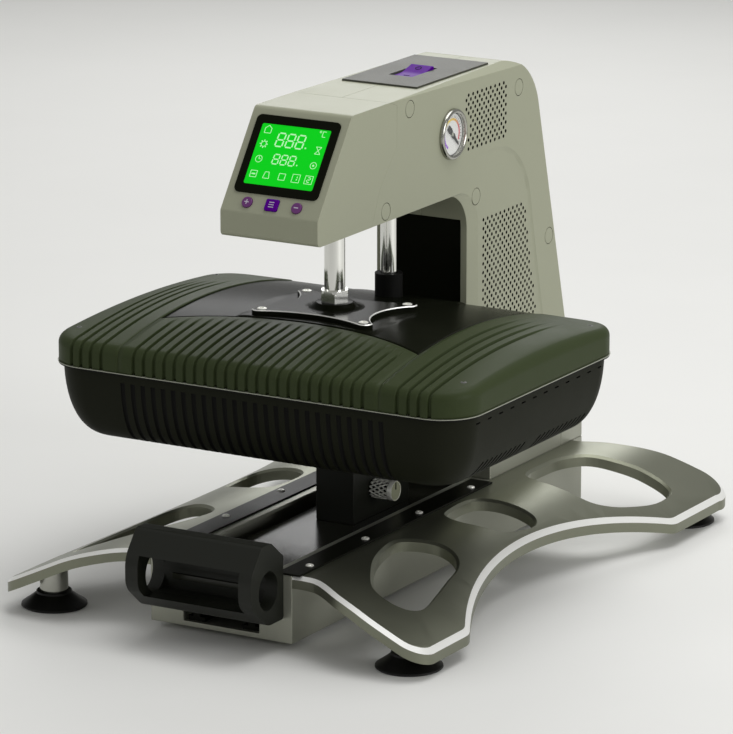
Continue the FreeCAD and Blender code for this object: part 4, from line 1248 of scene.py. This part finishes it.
def digitStrokes(x, r, w, h, lit, width):
    # seven segments in the order top, upper right, lower right, foot, lower left, upper left, middle
    lean = 0.08 * h
    corner = {"tl": (x + lean, r + h), "tr": (x + w + lean, r + h), "ml": (x + lean / 2, r + h / 2),
              "mr": (x + w + lean / 2, r + h / 2), "bl": (x, r), "br": (x + w, r)}
    segments = (("tl", "tr"), ("tr", "mr"), ("mr", "br"), ("br", "bl"), ("bl", "ml"), ("ml", "tl"), ("ml", "mr"))
    strokes = []
    for index in lit:
        a, b = (Vector(corner[key]) for key in segments[index])
        inset = (b - a).normalized() * width * 0.55
        strokes.append(bar(*(a + inset), *(b - inset), width))
    return strokes


screenLook = {"bigDigit": {"x": -19.0, "pitch": 11.9, "rise": 76.5, "size": (8.3, 15.0), "stroke": 1.5},
              "smallDigit": {"x": -16.0, "pitch": 9.6, "rise": 56.8, "size": (6.7, 10.8), "stroke": 1.25},
              "iconWidth": 0.65}


def makeDisplay():
    easedCopy("display_bezel", "displayBezel", "base", "gloss_black", ["glossBlack"], 0.5)
    easedCopy("lcd_panel", "screenPanel", "base", "lcd", ["screenGreen"], 0.0)
    strokes = []
    for row in ("bigDigit", "smallDigit"):
        digit = screenLook[row]
        for i in range(3):
            strokes += digitStrokes(digit["x"] + i * digit["pitch"], digit["rise"], *digit["size"], range(7),
                                    digit["stroke"])
    line = screenLook["iconWidth"]
    strokes += [disc(17.4, 78.0, 0.9), disc(14.0, 58.0, 0.8)]
    # left column: a house, a gear and a clock
    strokes += loopStroke([(-36, 90), (-28.5, 90), (-28.5, 95.5), (-32.2, 98.6), (-36, 95.5)], line)
    strokes += loopStroke(disc(-32.2, 77.5, 3.0, 12), line)
    for i in range(8):
        a = math.pi * i / 4
        strokes.append(bar(-32.2 + 3.4 * math.cos(a), 77.5 + 3.4 * math.sin(a), -32.2 + 4.7 * math.cos(a),
                           77.5 + 4.7 * math.sin(a), 1.1))
    strokes += loopStroke(disc(-32.2, 60.5, 3.8, 16), line)
    strokes += [bar(-32.2, 60.5, -32.2, 63.2, line), bar(-32.2, 60.5, -30.0, 60.5, line)]
    # right column: a degree sign with its letter, an hourglass and a ring
    strokes += loopStroke(disc(29.2, 98.0, 1.0, 10), 0.6)
    strokes += [bar(32.2, 92.5, 36.0, 92.5, line), bar(32.2, 92.5, 32.2, 98.5, line)]
    strokes += [bar(32.2, 98.5, 36.0, 98.5, line)]
    strokes += loopStroke([(29.8, 73.0), (36.2, 73.0), (29.8, 81.0), (36.2, 81.0)], line)
    strokes += loopStroke(disc(33.0, 60.0, 3.6, 16), line) + [disc(33.0, 60.0, 1.2, 10)]
    # bottom row: a plate, a cup, a cloth, then 1 and 2
    strokes += loopStroke(box(-36.5, 40.0, -29.0, 47.2), line)
    strokes += [bar(-35, 43.5, -30.5, 43.5, 1.4)]
    strokes += loopStroke([(-20.8, 40.0), (-13.6, 40.0), (-15.0, 47.2), (-19.4, 47.2)], line)
    strokes += loopStroke(box(-2.6, 40.0, 4.8, 47.2), line)
    for x in (17.8, 33.0):
        strokes += loopStroke(box(x - 4.4, 39.2, x + 4.4, 48.2), 0.6)
    strokes += digitStrokes(15.4, 41.2, 3.4, 5.2, (1, 2), 0.9)
    strokes += digitStrokes(31.0, 41.2, 3.4, 5.2, (0, 1, 6, 4, 3), 0.9)
    markPiece("screenMarks", "base", "screenWhite", strokes, 1.15, 1.32)
    easedCopies("plus_button", {"button_plus": ("plusButton", "purple", "mutedPurple", 0.9, 30.0, 3)})
    easedCopies("minus_button", {"button_minus": ("minusButton", "purple", "mutedPurple", 0.9, 30.0, 3)})
    easedCopies("start_button", {"button_start": ("startButton", "purple", "purpleGloss", 0.9, 30.0, 3)})
    signs = {"plus": [bar(-32.1, 11.6, -26.9, 11.6, 1.1), bar(-29.5, 9.0, -29.5, 14.2, 1.1)],
             "minus": [bar(26.9, 11.6, 32.1, 11.6, 1.1)],
             "start": [bar(-3.0, rise, 3.0, rise, 0.9) for rise in (11.6, 14.2, 9.0)]}
    for key, sign in signs.items():
        markPiece(key + "Mark", key + "_button", "markWhite", sign, 1.9, 2.18)


makeDisplay()

rockerLook = {"y": 90.5, "z": 517.0, "tilt": 8.0, "saddle": 6.2, "rise": 2.8, "half": 23.0}


def onRocker(x, along, lift):
    # a point on the switch's hollow top, turned with it to its off position
    look = rockerLook
    turn = Matrix.Rotation(math.radians(look["tilt"]), 3, "X")
    height = look["saddle"] + look["rise"] * abs(along) / look["half"] + lift
    return Vector((0, look["y"], look["z"])) + turn @ Vector((x, along, height))


def makeRocker():
    easedCopies("rocker", {"power_rocker": ("powerRocker", "purple", "purpleGloss", 0.9, 30.0, 3)})
    build = bmesh.new()
    for outline in loopStroke(disc(0.0, 13.0, 3.2), 0.9) + [bar(-3.4, -13.0, 3.4, -13.0, 1.1)]:
        prism(build, *([build.verts.new(onRocker(x, along, lift)) for x, along in outline] for lift in (-0.6, 0.28)))
    addPiece("rockerMarks", "rocker", meshFrom("rockerMarks", build), ["deepBlack"])


makeRocker()
print("controls ready")


gaugeLook = {"ring": ((22.9, 60.2), (22.9, 61.6), (23.6, 62.4), (24.8, 62.8), (26.2, 62.4), (27.3, 61.2),
                      (27.6, 59.6), (27.6, 58.1), (22.9, 58.1), (22.9, 60.2)),
             "hub": ((0, 58.0), (2.3, 58.0), (2.3, 59.1), (1.8, 59.4), (0, 59.4)),
             "needle": [(-2.9, -12.0), (2.9, -12.0), (3.4, -6.0), (2.0, -1.0), (3.0, 3.0), (1.5, 8.0), (0.9, 18.0),
                        (-0.9, 18.0), (-1.5, 8.0), (-3.0, 3.0), (-2.0, -1.0), (-3.4, -6.0)],
             "needleTurn": -135.0, "needleFaces": (58.35, 59.05)}


def makeGauge():
    middle = (0, dialLook["y"], dialLook["z"])
    build = bmesh.new()
    turned(build, gaugeLook["ring"], middle, "x", 72)
    addPiece("gaugeRing", "base", meshFrom("gaugeRing", build), ["chromeAcross"], "gauge_ring")
    marks = grown("gaugeTicks", ticks, [(57.86, dialLook["y"], dialLook["z"])], "needleBlack",
                  {"Count": 28, "From": math.radians(-135.0), "Step": math.radians(10.0), "Inner": 0.0177,
                   "Length": 0.0026, "Width": 0.00045})
    addPiece("gaugeTicks", "base", marks, ["needleBlack"])
    build = bmesh.new()
    turn = Matrix.Rotation(math.radians(gaugeLook["needleTurn"]), 3, "X")
    rows = ([build.verts.new(Vector(middle) + turn @ Vector((x, across, along)))
             for across, along in gaugeLook["needle"]] for x in gaugeLook["needleFaces"])
    prism(build, *rows)
    addPiece("gaugeNeedle", "needle", meshFrom("gaugeNeedle", build), ["needleBlack"], "gauge_needle")
    build = bmesh.new()
    turned(build, gaugeLook["hub"], middle, "x", 24)
    addPiece("needleHub", "needle", meshFrom("needleHub", build), ["trimGrey"])


makeGauge()


spiderLook = {"tipX": 71.0, "tipY": 54.0, "waistX": 52.0, "waistY": 40.0, "blunt": 11.0, "low": 297.1, "high": 302.0,
              "edge": 1.3, "boss": ((0, 301.5), (33.0, 301.85), (28.0, 302.5), (24.0, 304.0), (21.4, 306.4),
                                    (20.2, 307.6), (19.4, 307.9), (0, 307.9))}


def makeSpider():
    look = spiderLook
    loop = []
    corners = [(-1, -1), (1, -1), (1, 1), (-1, 1)]
    waists = [(0, -look["waistY"]), (look["waistX"], 0), (0, look["waistY"]), (-look["waistX"], 0)]
    for i in range(4):
        (ax, ay), (bx, by) = corners[i], corners[(i + 1) % 4]
        a = Vector((ax * look["tipX"], ay * look["tipY"]))
        b = Vector((bx * look["tipX"], by * look["tipY"]))
        way = (b - a).normalized() * look["blunt"]
        loop += arcThrough(a + way, waists[i], b - way, 22)
        after = Vector(corners[(i + 2) % 4])
        nextWay = Vector(((after.x - bx) / 2, (after.y - by) / 2)) * look["blunt"]
        loop += arcThrough(b - way, b + (nextWay - way) * 0.12, b + nextWay, 6)[1:-1]
    build = bmesh.new()
    inner = offsetLoop(loop, look["edge"])
    low, edge, top = (ringAt(build, [p + Vector((0, pressY)) for p in line], z) for line, z in
                      ((loop, look["low"]), (loop, look["high"] - 0.9), (inner, look["high"])))
    band(build, low, edge)
    # the top chamfer takes the near-white finish: polished edge plus painted highlight
    band(build, edge, top, 1)
    fill(build, low)
    fill(build, top)
    turned(build, look["boss"], (0, pressY, 0))
    addPiece("spiderPlate", "heat_cover", meshFrom("spiderPlate", build),
             ["glossBlack", "polishAndHighlightEdge"], "spider_plate")
    spots = [(x, pressY + y, 301.9) for x in (-61.5, 61.5) for y in (-46.0, 46.0)]
    screwRow("spiderScrews", "heat_cover", "spider_screws", "ridgeSilver", spots, 5.2, 1.3, 2.6)
    spots = [(x, pressY + y, crownHeight(x, y) - 0.9) for x in (-230.5, 230.5) for y in (-136.5, 136.5)]
    screwRow("cornerScrews", "heat_cover", "cover_screws", "castGrey", spots, 3.6, 1.2, 1.9)
    easedCopies("heat_cover", {"rod_nut": ("rodNut", "chrome", "chrome", 0.5, 25.0, 3),
                               "guide_collar": ("guideCollar", "dark_plastic", "deepBlack", 0.8)})


makeSpider()
print("gauge and spider ready")


# the solids that show as they are get their finishes here
plainNodes = {
    "chrome": ("lift_rod", "guide_rod"),
    "chromeAcross": ("foot_stems",),
    "groundSteel": ("guide_bush",),
    "stripBlack": ("slide_rails", "carriage_runners", "c_frame"),
    "plateAluminium": ("air_cylinder", "heating_platen", "vacuum_tray"),
    "castGrey": ("vacuum_pump",),
    "deepBlack": ("gauge_case", "power_inlet"),
    "brass": ("air_fitting",),
    "siliconeOrange": ("silicone_membrane",),
    "fibreBoard": ("insulation_board",),
    "cardGreen": ("control_board",),
    "dialFace": ("gauge_dial",),
    "clearGlass": ("gauge_glass",),
}
for finish, nodes in plainNodes.items():
    for node in nodes:
        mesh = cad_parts[node].data
        mesh.materials.clear()
        mesh.materials.append(stock[finish])
print("plain solids finished")
